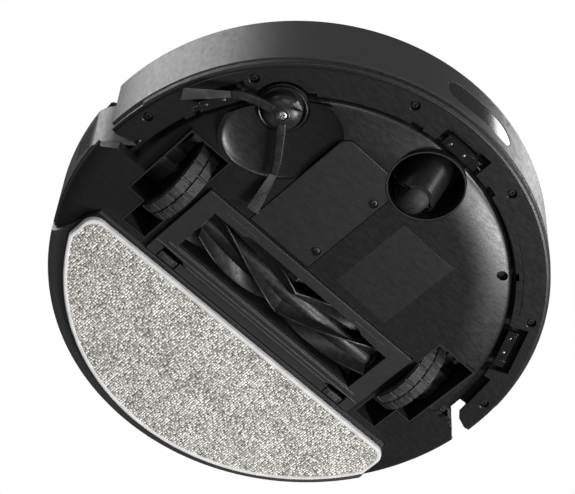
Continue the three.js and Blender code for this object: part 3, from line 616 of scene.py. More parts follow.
def mirror_piece(piece: bpy.types.Object, name: str) -> bpy.types.Object:
    """Make a mirror image of a piece across the robot's middle plane."""
    copy = twin(piece, name)
    copy.data.transform(Matrix.Diagonal((-1, 1, 1, 1)))
    copy.data.flip_normals()
    return copy


def settle(piece: bpy.types.Object) -> bpy.types.Object:
    """Apply every modifier of a piece to its mesh."""
    bpy.context.view_layer.update()
    graph = bpy.context.evaluated_depsgraph_get()
    made = bpy.data.meshes.new_from_object(piece.evaluated_get(graph))
    old = piece.data
    piece.modifiers.clear()
    piece.data = made
    bpy.data.meshes.remove(old)
    return piece


def combine(piece: bpy.types.Object, operation: str, tools: tuple, sharp: float = 32) -> bpy.types.Object:
    """Join, cut or keep a piece by other solids, which are used up.

    Args:
        piece: The piece to change.
        operation: UNION, DIFFERENCE or INTERSECT.
        tools: The other solids.
        sharp: Edges that bend by more than this many degrees stay sharp.

    Returns:
        The piece.
    """
    for tool in tools:
        modifier = piece.modifiers.new("shape", "BOOLEAN")
        modifier.operation = operation
        modifier.solver = "EXACT"
        modifier.object = tool
    settle(piece)
    for tool in tools:
        bpy.data.objects.remove(tool)
    shade_by_angle(piece.data, sharp)
    return piece


def weld(piece: bpy.types.Object, *tools: bpy.types.Object) -> bpy.types.Object:
    """Join other solids to a piece."""
    return combine(piece, "UNION", tools)


def carve(piece: bpy.types.Object, *tools: bpy.types.Object) -> bpy.types.Object:
    """Cut other solids out of a piece."""
    return combine(piece, "DIFFERENCE", tools)


def keep(piece: bpy.types.Object, *tools: bpy.types.Object) -> bpy.types.Object:
    """Keep only what a piece shares with other solids."""
    return combine(piece, "INTERSECT", tools)


def soften(piece: bpy.types.Object, width: float, steps: int = 2, angle: float = 35) -> bpy.types.Object:
    """Round a piece's edges.

    Args:
        piece: The piece.
        width: Width of the rounding, in millimetres.
        steps: Segments across it.
        angle: Only edges that bend by more than this many degrees are rounded.

    Returns:
        The piece.
    """
    modifier = piece.modifiers.new("edges", "BEVEL")
    modifier.width = width * TO_METRES
    modifier.segments = steps
    modifier.limit_method = "ANGLE"
    modifier.angle_limit = math.radians(angle)
    modifier.use_clamp_overlap = True
    return even(piece)


def even(piece: bpy.types.Object) -> bpy.types.Object:
    """Keep a piece's large flat faces flat in the light."""
    modifier = piece.modifiers.new("flat_faces", "WEIGHTED_NORMAL")
    modifier.mode = "FACE_AREA"
    modifier.weight = 90
    modifier.keep_sharp = True
    return piece


def gather(name: str, pieces: list[bpy.types.Object]) -> bpy.types.Object:
    """Put several meshes into one object.

    Args:
        name: The joined object's name.
        pieces: The objects, which are used up.

    Returns:
        The joined object.
    """
    bm = bmesh.new()
    for piece in pieces:
        settle(piece)
        bm.from_mesh(piece.data)
        bpy.data.objects.remove(piece)
    mesh = bpy.data.meshes.new(name)
    bm.to_mesh(mesh)
    bm.free()
    shade_by_angle(mesh, 32)
    made = bpy.data.objects.new(name, mesh)
    bpy.context.scene.collection.objects.link(made)
    return made


def dress(piece: bpy.types.Object, look: Look, body: str, slot: str, *nodes: str) -> bpy.types.Object:
    """Give a piece its finish and tie it to the frame.

    Args:
        piece: The piece.
        look: Its finish.
        body: The frame body it moves with.
        slot: The record's material slot; not used.
        *nodes: The frame nodes it stands for.

    Returns:
        The piece.
    """
    piece.data.materials.clear()
    piece.data.materials.append(look.material())
    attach(piece, body)
    if nodes:
        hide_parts(*nodes)
    LOG.info("%s rides on %s, %d faces", piece.name, body, len(piece.data.polygons))
    return piece


def crossed_screw(name: str, centre: Triple, radius: float, height: float = 1.4) -> bpy.types.Object:
    """Make a pan-head screw with a cross recess that faces down.

    Args:
        name: The object's name.
        centre: The middle of the head's lower face.
        radius: The head's radius.
        height: The head's height.

    Returns:
        The screw's head.
    """
    x, y, z = centre
    head = spun(name, [(0, z), (radius * 0.75, z), (radius * 0.95, z + height * 0.25),
                       (radius, z + height * 0.6), (radius, z + height), (0, z + height)], (x, y), steps=28)
    arm, half, depth = radius * 0.62, radius * 0.16, height * 0.7
    slots = [block("slot", (x - a, y - b, z - 1), (x + a, y + b, z + depth))
             for a, b in ((arm, half), (half, arm))]
    return spin_piece(carve(head, *slots), 20, (x, y, 0))


# ---------------------------------------------------------------- shared outlines
BODY_R = Span.of("bumper_shell").high.x
MODULE = Span.of("module_shell")
WELL = Span.of("wheel_housing_right")
GUARD = Span.of("brush_guard")
CASTER_AT = joint_point("caster_swivel_turn")
SIDE_AT = joint_point("side_brush_spin")
PLATE_Z = Span.of("wheel_housing_right").low.z
SEAM = (-147.5, -88.0)
CUP_R = Span.of("caster_socket").high.x - CASTER_AT.x + 0.3
SENSOR_ANGLES = {"front": 90, "right": 26, "left": 154}


def module_outline(margin: float) -> list[Point]:
    """Outline the rear module seen from above, grown by a margin."""
    corner = MODULE.high.y + margin
    angle = math.degrees(math.atan2(SEAM[1] + margin, SEAM[0] - margin))
    sweep = arc((0, 0), BODY_R + margin, angle, -180 - angle, 90)
    return [(-138 - margin, corner), *sweep, (138 + margin, corner)]


def well_outline(margin: float) -> list[Point]:
    """Outline the right wheel well, which is narrower behind the gearbox."""
    low, high = WELL.low, WELL.high
    step_x, step_y = 123.7 + margin, -24.7 - margin
    return [(low.x - margin, low.y - margin), (step_x, low.y - margin), (step_x, step_y),
            (high.x + margin, step_y), (high.x + margin, high.y + margin), (low.x - margin, high.y + margin)]


def mop_outline(inset: float) -> list[Point]:
    """Outline the mop cloth, drawn in by an inset: a straight front edge and a round rear one."""
    span = Span.of("mop_pad")
    half, front, radius = span.high.x - inset, span.high.y - inset, -span.low.y - inset
    corner = 10.0 - inset / 2
    side = math.degrees(math.atan2(-math.sqrt(radius ** 2 - half ** 2), half))
    rear = arc((0, 0), radius, side, -180 - side, 72)
    right = arc((half - corner, front - corner), corner, 90, 0, 8)
    return [*right, *rear, *mirrored(right)[::-1]]


# ---------------------------------------------------------------- underbody
@dataclass
class Underbody:
    """The base plate with its raised rim, the dish round the side brush and the battery cover."""

    shoulder: float = 117
    lip: float = 146
    lip_rise: float = 5.2
    ledge: Point = (149.5, 20.0)
    thickness: float = 2.4
    dish_centre: Point = (92.0, 79.0)
    dish_half: Point = (32.5, 41.0)
    dish_turn: float = 41
    brush_seat: float = 18.3
    pocket_at: Point = (-91.7, 107.8)

    def front_profile(self) -> list[Point]:
        """List the front plate's section: flat, a gentle rise, then a steep lip up to a ledge."""
        rise = []
        for i in range(13):
            t = i / 12
            rise.append((self.shoulder + (self.lip - self.shoulder) * t, PLATE_Z + self.lip_rise * t ** 1.8))
        ledge, z = self.ledge
        back = [(r - 1.2, height + self.thickness) for r, height in reversed(rise)]
        top = z + self.thickness
        return [(0, PLATE_Z), *rise, (147.2, 16.4), (148.4, 18.4), (ledge, z), (153, z), (153, top),
                (147.4, top), *back[1:], (0, PLATE_Z + self.thickness)]

    def oval(self, name: str, profile: list[Point], grow: float = 0) -> bpy.types.Object:
        """Spin a profile of unit radius and stretch it to the dish's oval.

        Args:
            name: The object's name.
            profile: Radius, where 1 is the oval's edge, and height pairs.
            grow: How much larger than the dish the oval is.

        Returns:
            The oval solid in its place.
        """
        piece = spun(name, profile, steps=96)
        across, along = self.dish_half
        place = (Matrix.Translation(Vector((*self.dish_centre, 0)) * TO_METRES)
                 @ Matrix.Rotation(math.radians(self.dish_turn), 4, "Z")
                 @ Matrix.Diagonal((across + grow, along + grow, 1, 1)))
        piece.data.transform(place)
        return piece

    def bay_outline(self, margin: float) -> list[Point]:
        """Outline the battery bay, whose corner beside the caster is well rounded."""
        box, bend = Span.of("battery_cover"), 8 + margin
        x0, y0, x1, y1 = box.low.x - margin, box.low.y - margin, box.high.x + margin, box.high.y + margin
        return [(x0, y0), (x1, y0), *arc((x1 - bend, y1 - bend), bend, 0, 90, 10), (x0, y1)]

    def rear_profile(self) -> list[Point]:
        """List the rear plate's section, with a rounded edge below the side wall."""
        edge = [(BODY_R - 13 + 12 * math.sin(a), PLATE_Z + 7 - 7 * math.cos(a))
                for a in (math.radians(15 * i) for i in range(7))]
        return [(0, PLATE_Z), *edge, (BODY_R - 1, PLATE_Z + 9.5), (0, PLATE_Z + 4.5)]

    def plate(self) -> bpy.types.Object:
        """Build the base plate with its openings."""
        front = keep(spun("base", self.front_profile(), steps=160),
                     block("front_half", (-200, -50, 0), (200, 200, 40)))
        notch = [(210, 20), (151.5, 20), (151.5, 4), (166.5, -10), (171.5, -15.5), (210, -15.5)]
        rear = keep(spun("rear", self.rear_profile(), steps=160),
                    block("rear_half", (-200, -200, 0), (200, -6, 40)))
        carve(rear, plate("notch", notch, 0, 40), plate("notch", mirrored(notch), 0, 40))
        top = PLATE_Z + 7.6
        low = PLATE_Z + 0.4
        dish_wall = self.oval("dish_wall", [(0, low), (1, low), (0.97, 14), (0.7, top), (0, top)], 2.6)
        keep(dish_wall, rod("round", self.lip, 0, 40, steps=120))
        base = weld(front, rear, dish_wall)
        curve = [(math.cos(a), PLATE_Z - 0.15 + 5.3 * math.sin(a) ** 0.9)
                 for a in (math.radians(90 * i / 12) for i in range(12))]
        well = filleted(well_outline(0.3), 1.6, 3)
        cuts = [
            self.oval("dish", [(0, 0), (1, 0), *curve, (0, PLATE_Z + 5.15)]),
            plate("module", module_outline(0.8), 0, 60),
            plate("well", well, 0, 60),
            plate("well", mirrored(well), 0, 60),
            block("guard", (-GUARD.high.x - 0.5, GUARD.low.y - 0.5, 0),
                  (GUARD.high.x + 0.5, GUARD.high.y + 0.5, 60)),
            rod("cup", CUP_R, 0, 60, CASTER_AT.xy, 72),
            rod("seat", self.brush_seat, 0, 60, SIDE_AT.xy, 56),
            plate("bay", self.bay_outline(0.5), 0, 60),
            plate("hole", ellipse(self.pocket_at, 4.6, 3.4, 24), 0, 60),
        ]
        carve(base, *cuts)
        base.name = "underbody_plate"
        return soften(base, 0.45)

    def battery_cover(self) -> bpy.types.Object:
        """Build the battery cover, hollowed where it meets the caster well."""
        box = Span.of("battery_cover")
        cover = settle(soften(plate("battery_door", self.bay_outline(0), box.low.z, box.high.z), 0.6, 3))
        holes = [rod("hole", 3.5, 0, box.low.z + 1.3, Span.of(f"battery_cover_screw_{i}").middle.xy, 28)
                 for i in (1, 2)]
        carve(cover, rod("cup", CUP_R, 0, 60, CASTER_AT.xy, 72), *holes)
        cover.data.polygons.foreach_set("use_smooth", [False] * len(cover.data.polygons))
        return cover

    def build(self) -> None:
        """Build and dress the whole underbody."""
        dress(self.plate(), Look.BODY, "chassis", "body", "base_plate")
        dress(self.battery_cover(), Look.DOOR, "chassis", "body", "battery_cover")
        for i in (1, 2):
            node = f"battery_cover_screw_{i}"
            at = Span.of(node).middle
            dress(crossed_screw(f"door_screw_{i}", (at.x, at.y, PLATE_Z - 0.3), 2.9), Look.BLACK_STEEL,
                  "chassis", "steel", node)
        field = plate("blank_field", filleted(rectangle(-62.5, -13, 23.5, 89), 1.5),
                      PLATE_Z - 0.12, PLATE_Z + 0.5)
        dress(soften(field, 0.1, 1), Look.LABEL, "chassis", "body")
        collar = spun("brush_collar", [(14.4, 14.9), (15.0, 13.4), (16.1, 13.0), (16.9, 13.9), (16.9, 15.2),
                                       (14.4, 15.2)], SIDE_AT.xy, steps=96)
        dress(soften(collar, 0.2), Look.BODY, "chassis", "body")
        # Painted shadow: a flat black ring above the flange, between the plate's ledge and the wall, stands in for
        # the shade in the gap.
        shadow = hoop("shadow_ring", 153.4, 167.5, 21, 21.8, start=4, sweep=172, steps=120)
        gaps = [spin_piece(block("gap", (150, -12.6, 0), (159, 12.6, 40)), angle)
                for angle in SENSOR_ANGLES.values()]
        dress(carve(shadow, *gaps), Look.SHADOW, "chassis", "body")
        # Painted shade: a black plug above the oval hole, so the hole reads dark.
        dress(rod("pocket", 7, 18, 30, self.pocket_at, 24), Look.SHADOW, "chassis", "body")


# ---------------------------------------------------------------- bumper
@dataclass
class Bumper:
    """The front bumper: wall, lower flange, soft corner strip and window."""

    inner: float = 172
    flange_inner: float = 150.5
    brush_notch: float = 21.3
    screws: tuple = ((163.9, 24), (134.6, 95.6), (47, 157))

    def ends(self) -> list[bpy.types.Object]:
        """Make the two solids that shape the bumper's ends."""
        outline = [(140, 11), (152.3, 11), (161, 2.4), (169, -0.6), (210, -0.6), (210, -40), (140, -40)]
        return [plate("end", outline, 0, 100), plate("end", mirrored(outline), 0, 100),
                block("rear", (-200, -200, 0), (200, -0.6, 100))]

    def wall(self) -> bpy.types.Object:
        """Build the outer wall with the window's opening."""
        box = Span.of("bumper_shell")
        r, low, top = BODY_R, box.low.z, box.high.z
        crown = [(r - 1.5 + 1.5 * math.cos(a), top - 1.5 + 1.5 * math.sin(a))
                 for a in (math.radians(18 * i) for i in range(6))]
        profile = [(self.inner, low), (r - 2, low), (r - 2, low + 5), (r - 1.6, low + 5.6),
                   (r - 0.5, low + 5.9), (r, low + 6.5), *crown, (self.inner, top)]
        wall = spun("bumper_wall", profile, start=-6, sweep=192, steps=220)
        carve(wall, *self.ends(), self.pill("opening", 0.35, r - 10, r + 6))
        return soften(wall, 0.5, 2, 40)

    def pill(self, name: str, grow: float, y0: float, y1: float) -> bpy.types.Object:
        """Make a long round-ended block that crosses the bumper at the front.

        Args:
            name: The object's name.
            grow: How much larger than the window it is all round.
            y0: Its rear end.
            y1: Its front end.

        Returns:
            The block.
        """
        window = Span.of("bumper_window")
        height = (window.high.z - window.low.z) / 2 + grow
        reach = window.high.x + grow - height
        outline = arc((reach, 0), height, -90, 90, 20) + arc((-reach, 0), height, 90, 270, 20)
        piece = plate(name, outline, y0, y1)
        turn = Matrix.Rotation(math.radians(90), 4, "X")
        lift = Matrix.Translation(Vector((0, 0, window.middle.z)) * TO_METRES)
        piece.data.transform(lift @ Matrix.Diagonal((1, -1, 1, 1)) @ turn)
        piece.data.flip_normals()
        return piece

    def flange(self) -> bpy.types.Object:
        """Build the lower flange with its notches and clip slots."""
        box = Span.of("bumper_flange")
        low, high = box.low.z, box.high.z
        inner, outer = self.flange_inner, BODY_R - 1
        profile = [(inner, low + 0.4), (inner + 0.6, low), (171.4, low), (171.8, low + 0.8),
                   (outer, low + 1.2), (outer, high), (inner, high)]
        flange = spun("bumper_flange_panel", profile, start=-6, sweep=192, steps=220)
        tools = self.ends()
        for angle in SENSOR_ANGLES.values():
            tools.append(spin_piece(block("notch", (140, -19.6, 0), (164, 19.6, 40)), angle))
        tools += [plate("brush_notch", ellipse(SIDE_AT.xy, self.brush_notch, self.brush_notch, 64), 0, 40),
                  spin_piece(block("right_end", (140, -18, 0), (152.6, 18, 40)), 9),
                  spin_piece(block("left_end", (140, -18, 0), (156, 18, 40)), 171),
                  hoop("step", 155.5, 156.1, 0, low + 0.5, start=117, sweep=26, steps=40)]
        for side in (1, -1):
            tools.append(spin_piece(block("clip", (146, -2.2, 0), (152.4, 2.2, 40)), 90 + side * 13.4))
            tools.append(spin_piece(block("clip", (150.5, -4.6, 0), (154, 4.6, 40)), 90 + side * 13.4))
            tools.append(spin_piece(block("clip", (146, -3, 0), (153, 3, 40)), 90 + side * 41))
        for x, y in self.screw_places():
            tools.append(rod("hole", 3.3, 0, 30, (x, y), 24))
            tools.append(spun("sink", [(0, 0), (4.1, low - 0.2), (3.3, low + 0.6), (0, low + 0.6)], (x, y),
                              steps=24))
        carve(flange, *tools)
        return soften(flange, 0.25, 2, 40)

    def screw_places(self) -> list[Point]:
        """List where the flange's screws are."""
        return [*self.screws, *mirrored(self.screws)]

    def build(self) -> None:
        """Build and dress the bumper."""
        dress(self.wall(), Look.WALL, "bumper", "bumper", "bumper_shell")
        dress(self.flange(), Look.BODY, "bumper", "body", "bumper_flange")
        r, box = BODY_R, Span.of("bumper_strip")
        low, high = box.low.z, box.high.z
        strip = spun("corner_strip", [(r - 1.8, low - 1.4), (r - 0.9, low - 1.4), (r - 0.35, low - 0.6),
                                      (r - 0.25, high - 1.0), (r - 0.9, high), (r - 1.8, high)],
                     start=9.3, sweep=161.4, steps=160)
        dress(soften(strip, 0.3), Look.RUBBER, "bumper", "rubber", "bumper_strip")
        pane = keep(hoop("window_pane", r - 2.6, r - 0.35, 20, 70, start=70, sweep=40, steps=72),
                    self.pill("pill", 0, r - 20, r + 6))
        dress(soften(pane, 0.3, 2, 50), Look.WINDOW, "bumper", "clear", "bumper_window")
        floor = Span.of("bumper_flange").high.z
        places = self.screw_places()
        screws = [crossed_screw("flange_screw", (x, y, floor - 0.4), 2.5) for x, y in places]
        screws += [rod("boss", 4.4, floor + 0.9, floor + 4, at, 24) for at in places]
        dress(gather("flange_screws", screws), Look.BLACK_STEEL, "bumper", "steel")


# ---------------------------------------------------------------- rear sides
@dataclass
class SideWalls:
    """The chassis wall: hidden behind the bumper, and the outer skin at the rear sides."""

    wall: float = 3
    vents: int = 11
    vent_z: float = 24.5
    vent_pitch: float = 3.7
    vent_slope: float = 29
    vent_bearing: float = -8.6
    corner: tuple = ((163, -6.8), (172.4, -14.6), (173.46, -23.14))
    rear_start: float = -7.6

    def outline(self, inset: float) -> list[Point]:
        """Outline the skin, drawn in by an inset."""
        r = BODY_R - inset
        first, middle, last = (Vector(p) for p in self.corner)
        front = [(151.5 - inset, 3.5 - inset * 0.3)]
        for i in range(9):
            t = i / 9
            x, y = (1 - t) ** 2 * first + 2 * t * (1 - t) * middle + t * t * last
            front.append((x - inset, y - inset * 0.3))
        rear = arc((0, 0), r, self.rear_start, -180 - self.rear_start, 150)
        return front + rear + mirrored(front)[::-1]

    def vent(self, index: int) -> bpy.types.Object:
        """Make the solid that cuts one slanted vent."""
        z = self.vent_z + index * self.vent_pitch
        slope = math.radians(self.vent_slope)
        length = min(26, (60 - z) / math.sin(slope))
        half = length / 2
        outline = arc((half - 0.8, 0), 0.8, -90, 90, 6) + arc((0.8 - half, 0), 0.8, 90, 270, 6)
        slot = plate("vent", outline, -9, 9)
        to_wall = Matrix.Rotation(math.radians(self.vent_bearing), 4, "Z")
        tilt = (Matrix.Translation(Vector((BODY_R, 0, z)) * TO_METRES)
                @ Matrix.Rotation(-slope, 4, "X")
                @ Matrix.Translation(Vector((0, -half, 0)) * TO_METRES)
                @ Matrix.Rotation(math.radians(90), 4, "Y") @ Matrix.Rotation(math.radians(90), 4, "Z"))
        slot.data.transform(to_wall @ tilt)
        return slot

    def build(self) -> None:
        """Build and dress the wall."""
        box = Span.of("side_shell")
        low, high = box.low.z, box.high.z
        skin = carve(plate("side_skin", self.outline(0), low, high),
                     plate("inside", self.outline(self.wall), 0, 100),
                     block("middle", (-140, -10, 0), (140, 10, 100)),
                     block("ledge", (-160, -0.7, 0), (160, 10, 22.8)),
                     plate("bay", module_outline(0.8), 0, 100))
        vents = []
        for i in range(self.vents):
            vent = self.vent(i)
            vents += [vent, mirror_piece(vent, "vent")]
        carve(skin, *vents)
        dress(soften(skin, 0.7, 3, 40), Look.WALL, "chassis", "bumper", "side_shell")
        front = hoop("front_wall", 150, 153, 22.8, high, start=-0.4, sweep=180.8, steps=120)
        dress(soften(front, 0.4), Look.INNER, "chassis", "bumper")


# ---------------------------------------------------------------- drive wheels
@dataclass
class DriveWheels:
    """Two lugged tyres on dished hubs."""

    lugs: int = 14
    lug_half: float = 6.5
    tread: float = 1.9

    def lug(self, x0: float, x1: float, radius: float) -> bpy.types.Object:
        """Make one tread block at the bottom of the tyre.

        Args:
            x0: Inner side.
            x1: Outer side.
            radius: The tyre's outer radius.

        Returns:
            The block, with a grooved face, about an axis through the origin.
        """
        top = math.sqrt(radius ** 2 - self.lug_half ** 2)
        bm = bmesh.new()
        steps = 10
        section = []
        for i in range(steps + 1):
            a = math.asin(self.lug_half / radius) * (2 * i / steps - 1)
            groove = 0.28 if i in (3, 7) else 0.0
            section.append(((radius - groove) * math.sin(a), -(radius - groove) * math.cos(a)))
        section += [(self.lug_half, -(top - self.tread)), (-self.lug_half, -(top - self.tread))]
        face = bm.faces.new([bm.verts.new((x0, y, z)) for y, z in section])
        moved = bmesh.ops.extrude_face_region(bm, geom=[face])
        bmesh.ops.translate(bm, vec=(x1 - x0, 0, 0),
                            verts=[g for g in moved["geom"] if isinstance(g, bmesh.types.BMVert)])
        return soften(finish_mesh(bm, "lug"), 0.35, 2, 50)

    def tyre(self, axle: Vector, box: Span) -> bpy.types.Object:
        """Build one tyre about its axle."""
        radius = (box.high.y - box.low.y) / 2
        x0, x1 = box.low.x, box.high.x
        ground = radius - self.tread + 0.4
        carcass = spun_along_x("carcass", [
            (26.6, x0 + 1.2), (28, x0 + 0.6), (ground - 1.2, x0), (ground - 0.3, x0 + 0.4),
            (ground, x0 + 1.2), (ground, x1 - 1.2), (ground - 0.3, x1 - 0.4), (ground - 1.2, x1),
            (28, x1 - 0.6), (26.6, x1 - 1.2),
        ], axle.y, axle.z, 96)
        middle = (x0 + x1) / 2
        parts = [carcass]
        for row, (a, b) in enumerate(((x0 + 0.6, middle - 0.45), (middle + 0.45, x1 - 0.6))):
            first = settle(self.lug(a, b, radius))
            for i in range(self.lugs):
                made = twin(first, "lug")
                spin_piece(made, (i + row / 2) * 360 / self.lugs, axis="X")
                made.data.transform(Matrix.Translation(Vector((0, axle.y, axle.z)) * TO_METRES))
                parts.append(made)
            bpy.data.objects.remove(first)
        return gather("lugged_tyre_right", parts)

    def hub(self, axle: Vector, box: Span) -> bpy.types.Object:
        """Build one dished hub with five pockets in its inner face."""
        x0 = box.low.x
        disc = spun_along_x("spoked_hub_right", [
            (0, x0 - 0.4), (7, x0 - 0.4), (8, x0 + 1.6), (19, x0 + 2.6), (22, x0), (26.4, x0),
            (26.4, x0 + 15), (20, x0 + 15), (6, x0 + 13), (6, x0 + 15), (3, x0 + 15),
            (3, box.high.x), (0, box.high.x)], axle.y, axle.z, 72)
        pockets = []
        for i in range(5):
            pocket = bar("pocket", (x0 - 2, axle.y, axle.z + 14), (x0 + 5, axle.y, axle.z + 14), 3.4, 24)
            pockets.append(spin_piece(pocket, i * 72, (0, axle.y, axle.z), "X"))
        return soften(carve(disc, *pockets), 0.35)

    def build(self) -> None:
        """Build and dress both wheels."""
        axle = joint_point("wheel_spin_right")
        tyre = self.tyre(axle, Span.of("tyre_right"))
        hub = self.hub(axle, Span.of("wheel_hub_right"))
        for made, look, slot, node in ((tyre, Look.TYRE, "tyre", "tyre"),
                                       (hub, Look.INNER, "body", "wheel_hub")):
            settle(made)
            other = mirror_piece(made, made.name.replace("right", "left"))
            dress(made, look, "wheel_right", slot, f"{node}_right")
            dress(other, look, "wheel_left", slot, f"{node}_left")


# ---------------------------------------------------------------- caster
@dataclass
class Caster:
    """The swivel caster: its well, leaning hood and roller."""

    hood: float = 16
    lean: float = 45
    lip: float = 3
    swing: float = 24.3

    def tube(self, name: str, radius: float, start: float, length: float) -> bpy.types.Object:
        """Make a round bar along the hood's leaning axis.

        Args:
            name: The object's name.
            radius: Its radius.
            start: Where it starts along the axis, from the axle.
            length: Its length.

        Returns:
            The bar.
        """
        axle = joint_point("caster_roller_spin")
        a = math.radians(self.lean)
        way = Vector((0, math.sin(a), math.cos(a)))
        return bar(name, axle + way * start, axle + way * (start + length), radius, 72)

    def build(self) -> None:
        """Build and dress the caster."""
        at, axle = CASTER_AT, joint_point("caster_roller_spin")
        box = Span.of("caster_fork")
        swing = self.swing
        outer = keep(self.tube("swivel_hood", self.hood, -self.lip, 60),
                     rod("round", swing, box.low.z, 38, at.xy))
        weld(outer, spun("disc", [(0, 37), (swing - 0.9, 37), (swing, 37.9), (swing, 41), (0, 41)], at.xy))
        bore = bar("bore", (-20, axle.y, axle.z), (20, axle.y, axle.z), 1.8, 24)
        carve(outer, self.tube("mouth", self.hood - 1.7, -10, 29), bore)
        dress(soften(outer, 0.6, 3), Look.BODY, "caster_swivel", "body", "caster_fork")
        roller = spun_along_x("caster_roller", [
            (1.9, -9), (5, -9), (5.4, -8), (9, -8), (9.6, -9), (10.5, -8.6), (12, -7), (13, -4.6), (13.5, -2),
            (13.5, 2), (13, 4.6), (12, 7), (10.5, 8.6), (9.6, 9), (9, 8), (5.4, 8), (5, 9), (1.9, 9),
        ], axle.y, axle.z, 64)
        aside = Matrix.Translation(Vector((axle.x, 0, 0)) * TO_METRES)
        roller.data.transform(aside)
        dress(soften(roller, 0.3), Look.RUBBER, "caster_roller", "rubber", "caster_wheel")
        pin = spun_along_x("caster_pin", [(0, -14.9), (1.0, -14.9), (1.6, -14.3), (1.6, 14.3), (1.0, 14.9),
                                          (0, 14.9)], axle.y, axle.z, 24)
        pin.data.transform(aside)
        dress(pin, Look.STEEL, "caster_swivel", "steel", "caster_axle")
        cup = Span.of("caster_socket")
        outside = CUP_R - 0.3
        inside = outside - 1.5
        low, high = cup.low.z, cup.high.z
        well = spun("caster_cup", [(0, high - 2), (inside - 1, high - 2), (inside, high - 4),
                                   (inside, low + 0.8), (inside + 0.4, low), (outside, low),
                                   (outside, high), (0, high)], at.xy, steps=96)
        carve(well, bar("bore", (at.x, at.y, 30), (at.x, at.y, 60), 4.3, 32))
        dress(soften(well, 0.12, 1), Look.INNER, "chassis", "inner", "caster_socket")


# ---------------------------------------------------------------- side brush
@dataclass
class SideBrush:
    """The side brush: a notched dome with two bent rubber arms and flat bristle tufts."""

    stubs: tuple = (((6, -1.2), (17, -3.3), (25.8, -6.1), (33.6, -13)),
                    ((-3.9, -4.6), (-12, -13.9), (-21, -24.6), (-28, -37)))
    tips: tuple = ((57.8, -34.2), (-36.5, -66))
    root_z: float = 7.0
    tip_z: float = 2.6
    strands: int = 17

    def path(self, index: int) -> list[Vector]:
        """List the middle of one arm, from the hub to its end, as a smooth bend."""
        a, b, c, d = (Vector((*p, self.root_z)) for p in self.stubs[index])
        near, far = b + (b - a) * 0.1, c + (d - c) * 0.1
        centre = Vector((SIDE_AT.x, SIDE_AT.y, 0))
        points = []
        for i in range(13):
            t = i / 12
            u = 1 - t
            bent = 3 * u * t * t * (far + (far - near) * 0.35)
            points.append(centre + u ** 3 * a + 3 * u * u * t * near + bent + t ** 3 * d)
        return points

    def ribbon(self, name: str, points: list[Vector], widths: list[float],
               depths: list[float]) -> bpy.types.Object:
        """Sweep a flat section along a line of points.

        Args:
            name: The object's name.
            points: The middle line.
            widths: Width at each point.
            depths: Height at each point.

        Returns:
            A closed flat bar.
        """
        bm = bmesh.new()
        rings = []
        for i, point in enumerate(points):
            ahead = points[min(i + 1, len(points) - 1)] - points[max(i - 1, 0)]
            side = Vector((-ahead.y, ahead.x, 0)).normalized() * widths[i] / 2
            rise = Vector((0, 0, depths[i] / 2))
            rings.append([bm.verts.new(p) for p in (point - side - rise, point + side - rise,
                                                    point + side + rise, point - side + rise)])
        for a, b in zip(rings, rings[1:]):
            bmesh.ops.bridge_loops(bm, edges=self.loop(bm, a) + self.loop(bm, b))
        bmesh.ops.holes_fill(bm, edges=[e for e in bm.edges if e.is_boundary], sides=0)
        return finish_mesh(bm, name)

    @staticmethod
    def loop(bm: bmesh.types.BMesh, ring: list) -> list:
        """Join four points into a ring of edges, using those that are there."""
        pairs = zip(ring, ring[1:] + ring[:1])
        return [bm.edges.get(pair) or bm.edges.new(pair) for pair in pairs]

    def tuft(self, index: int) -> bpy.types.Object:
        """Build one tuft as a row of fine strands that lie side by side and fan out to a slanting end."""
        centre = Vector((SIDE_AT.x, SIDE_AT.y, 0))
        root = centre + Vector((*self.stubs[index][-1], self.root_z - 0.2))
        tip = centre + Vector((*self.tips[index], self.tip_z))
        side = Vector((root.y - tip.y, tip.x - root.x, 0)).normalized()
        strands = []
        for k in range(self.strands):
            across = k / (self.strands - 1) - 0.5
            reach = 1 - 0.045 * across - (k * 7 % 5) * 0.006
            points = []
            for i in range(6):
                t = i / 5
                spread = side * (4.0 + 4.2 * t) * across
                layer = Vector((0, 0, 0.25 * (k % 2)))
                points.append(root.lerp(tip, reach * t - 0.04 * (1 - t)) + spread + layer)
            strands.append(self.ribbon("strand", points, [0.58 - 0.02 * i for i in range(6)], [0.5] * 6))
        return gather(f"bristle_tuft_{index + 1}", strands)

    def build(self) -> None:
        """Build and dress the side brush."""
        x, y = SIDE_AT.xy
        box = Span.of("side_brush_hub")
        low, high, r = box.low.z, box.high.z, 13.2
        curve = [(r * math.sin(a), high - 2.4 - (high - 2.4 - low) * math.cos(a))
                 for a in (math.radians(20 + 70 * i / 12) for i in range(13))]
        hub = spun("brush_hub", [(0, low), (4.4, low), *curve, (r, high), (0, high)], (x, y), steps=80)
        wedge = [(x, y + 7.5), (x - 1.5, y + 16), (x - 14, y + 11.5)]
        recess = spun("recess", [(0, 0), (3.8, 0), (3.5, low + 1.2), (0, low + 1.2)], (x, y), steps=32)
        carve(hub, plate("notch", wedge, 0, high - 2.2), recess)
        arms = [soften(hub, 0.35)]
        for i in (0, 1):
            arm = self.ribbon("arm", self.path(i), [6.4 - 1.2 * k / 12 for k in range(13)], [3.2] * 13)
            arms.append(soften(arm, 0.9, 3))
        dress(gather("brush_hub_and_arms", arms), Look.ARM, "side_brush", "rubber", "side_brush_hub")
        for i in (0, 1):
            dress(self.tuft(i), Look.TUFT, "side_brush", "bristle", f"side_brush_bristles_{i + 1}")
        dress(crossed_screw("brush_screw", (x, y, low + 0.2), 3.2), Look.STEEL, "side_brush", "steel",
              "side_brush_screw")


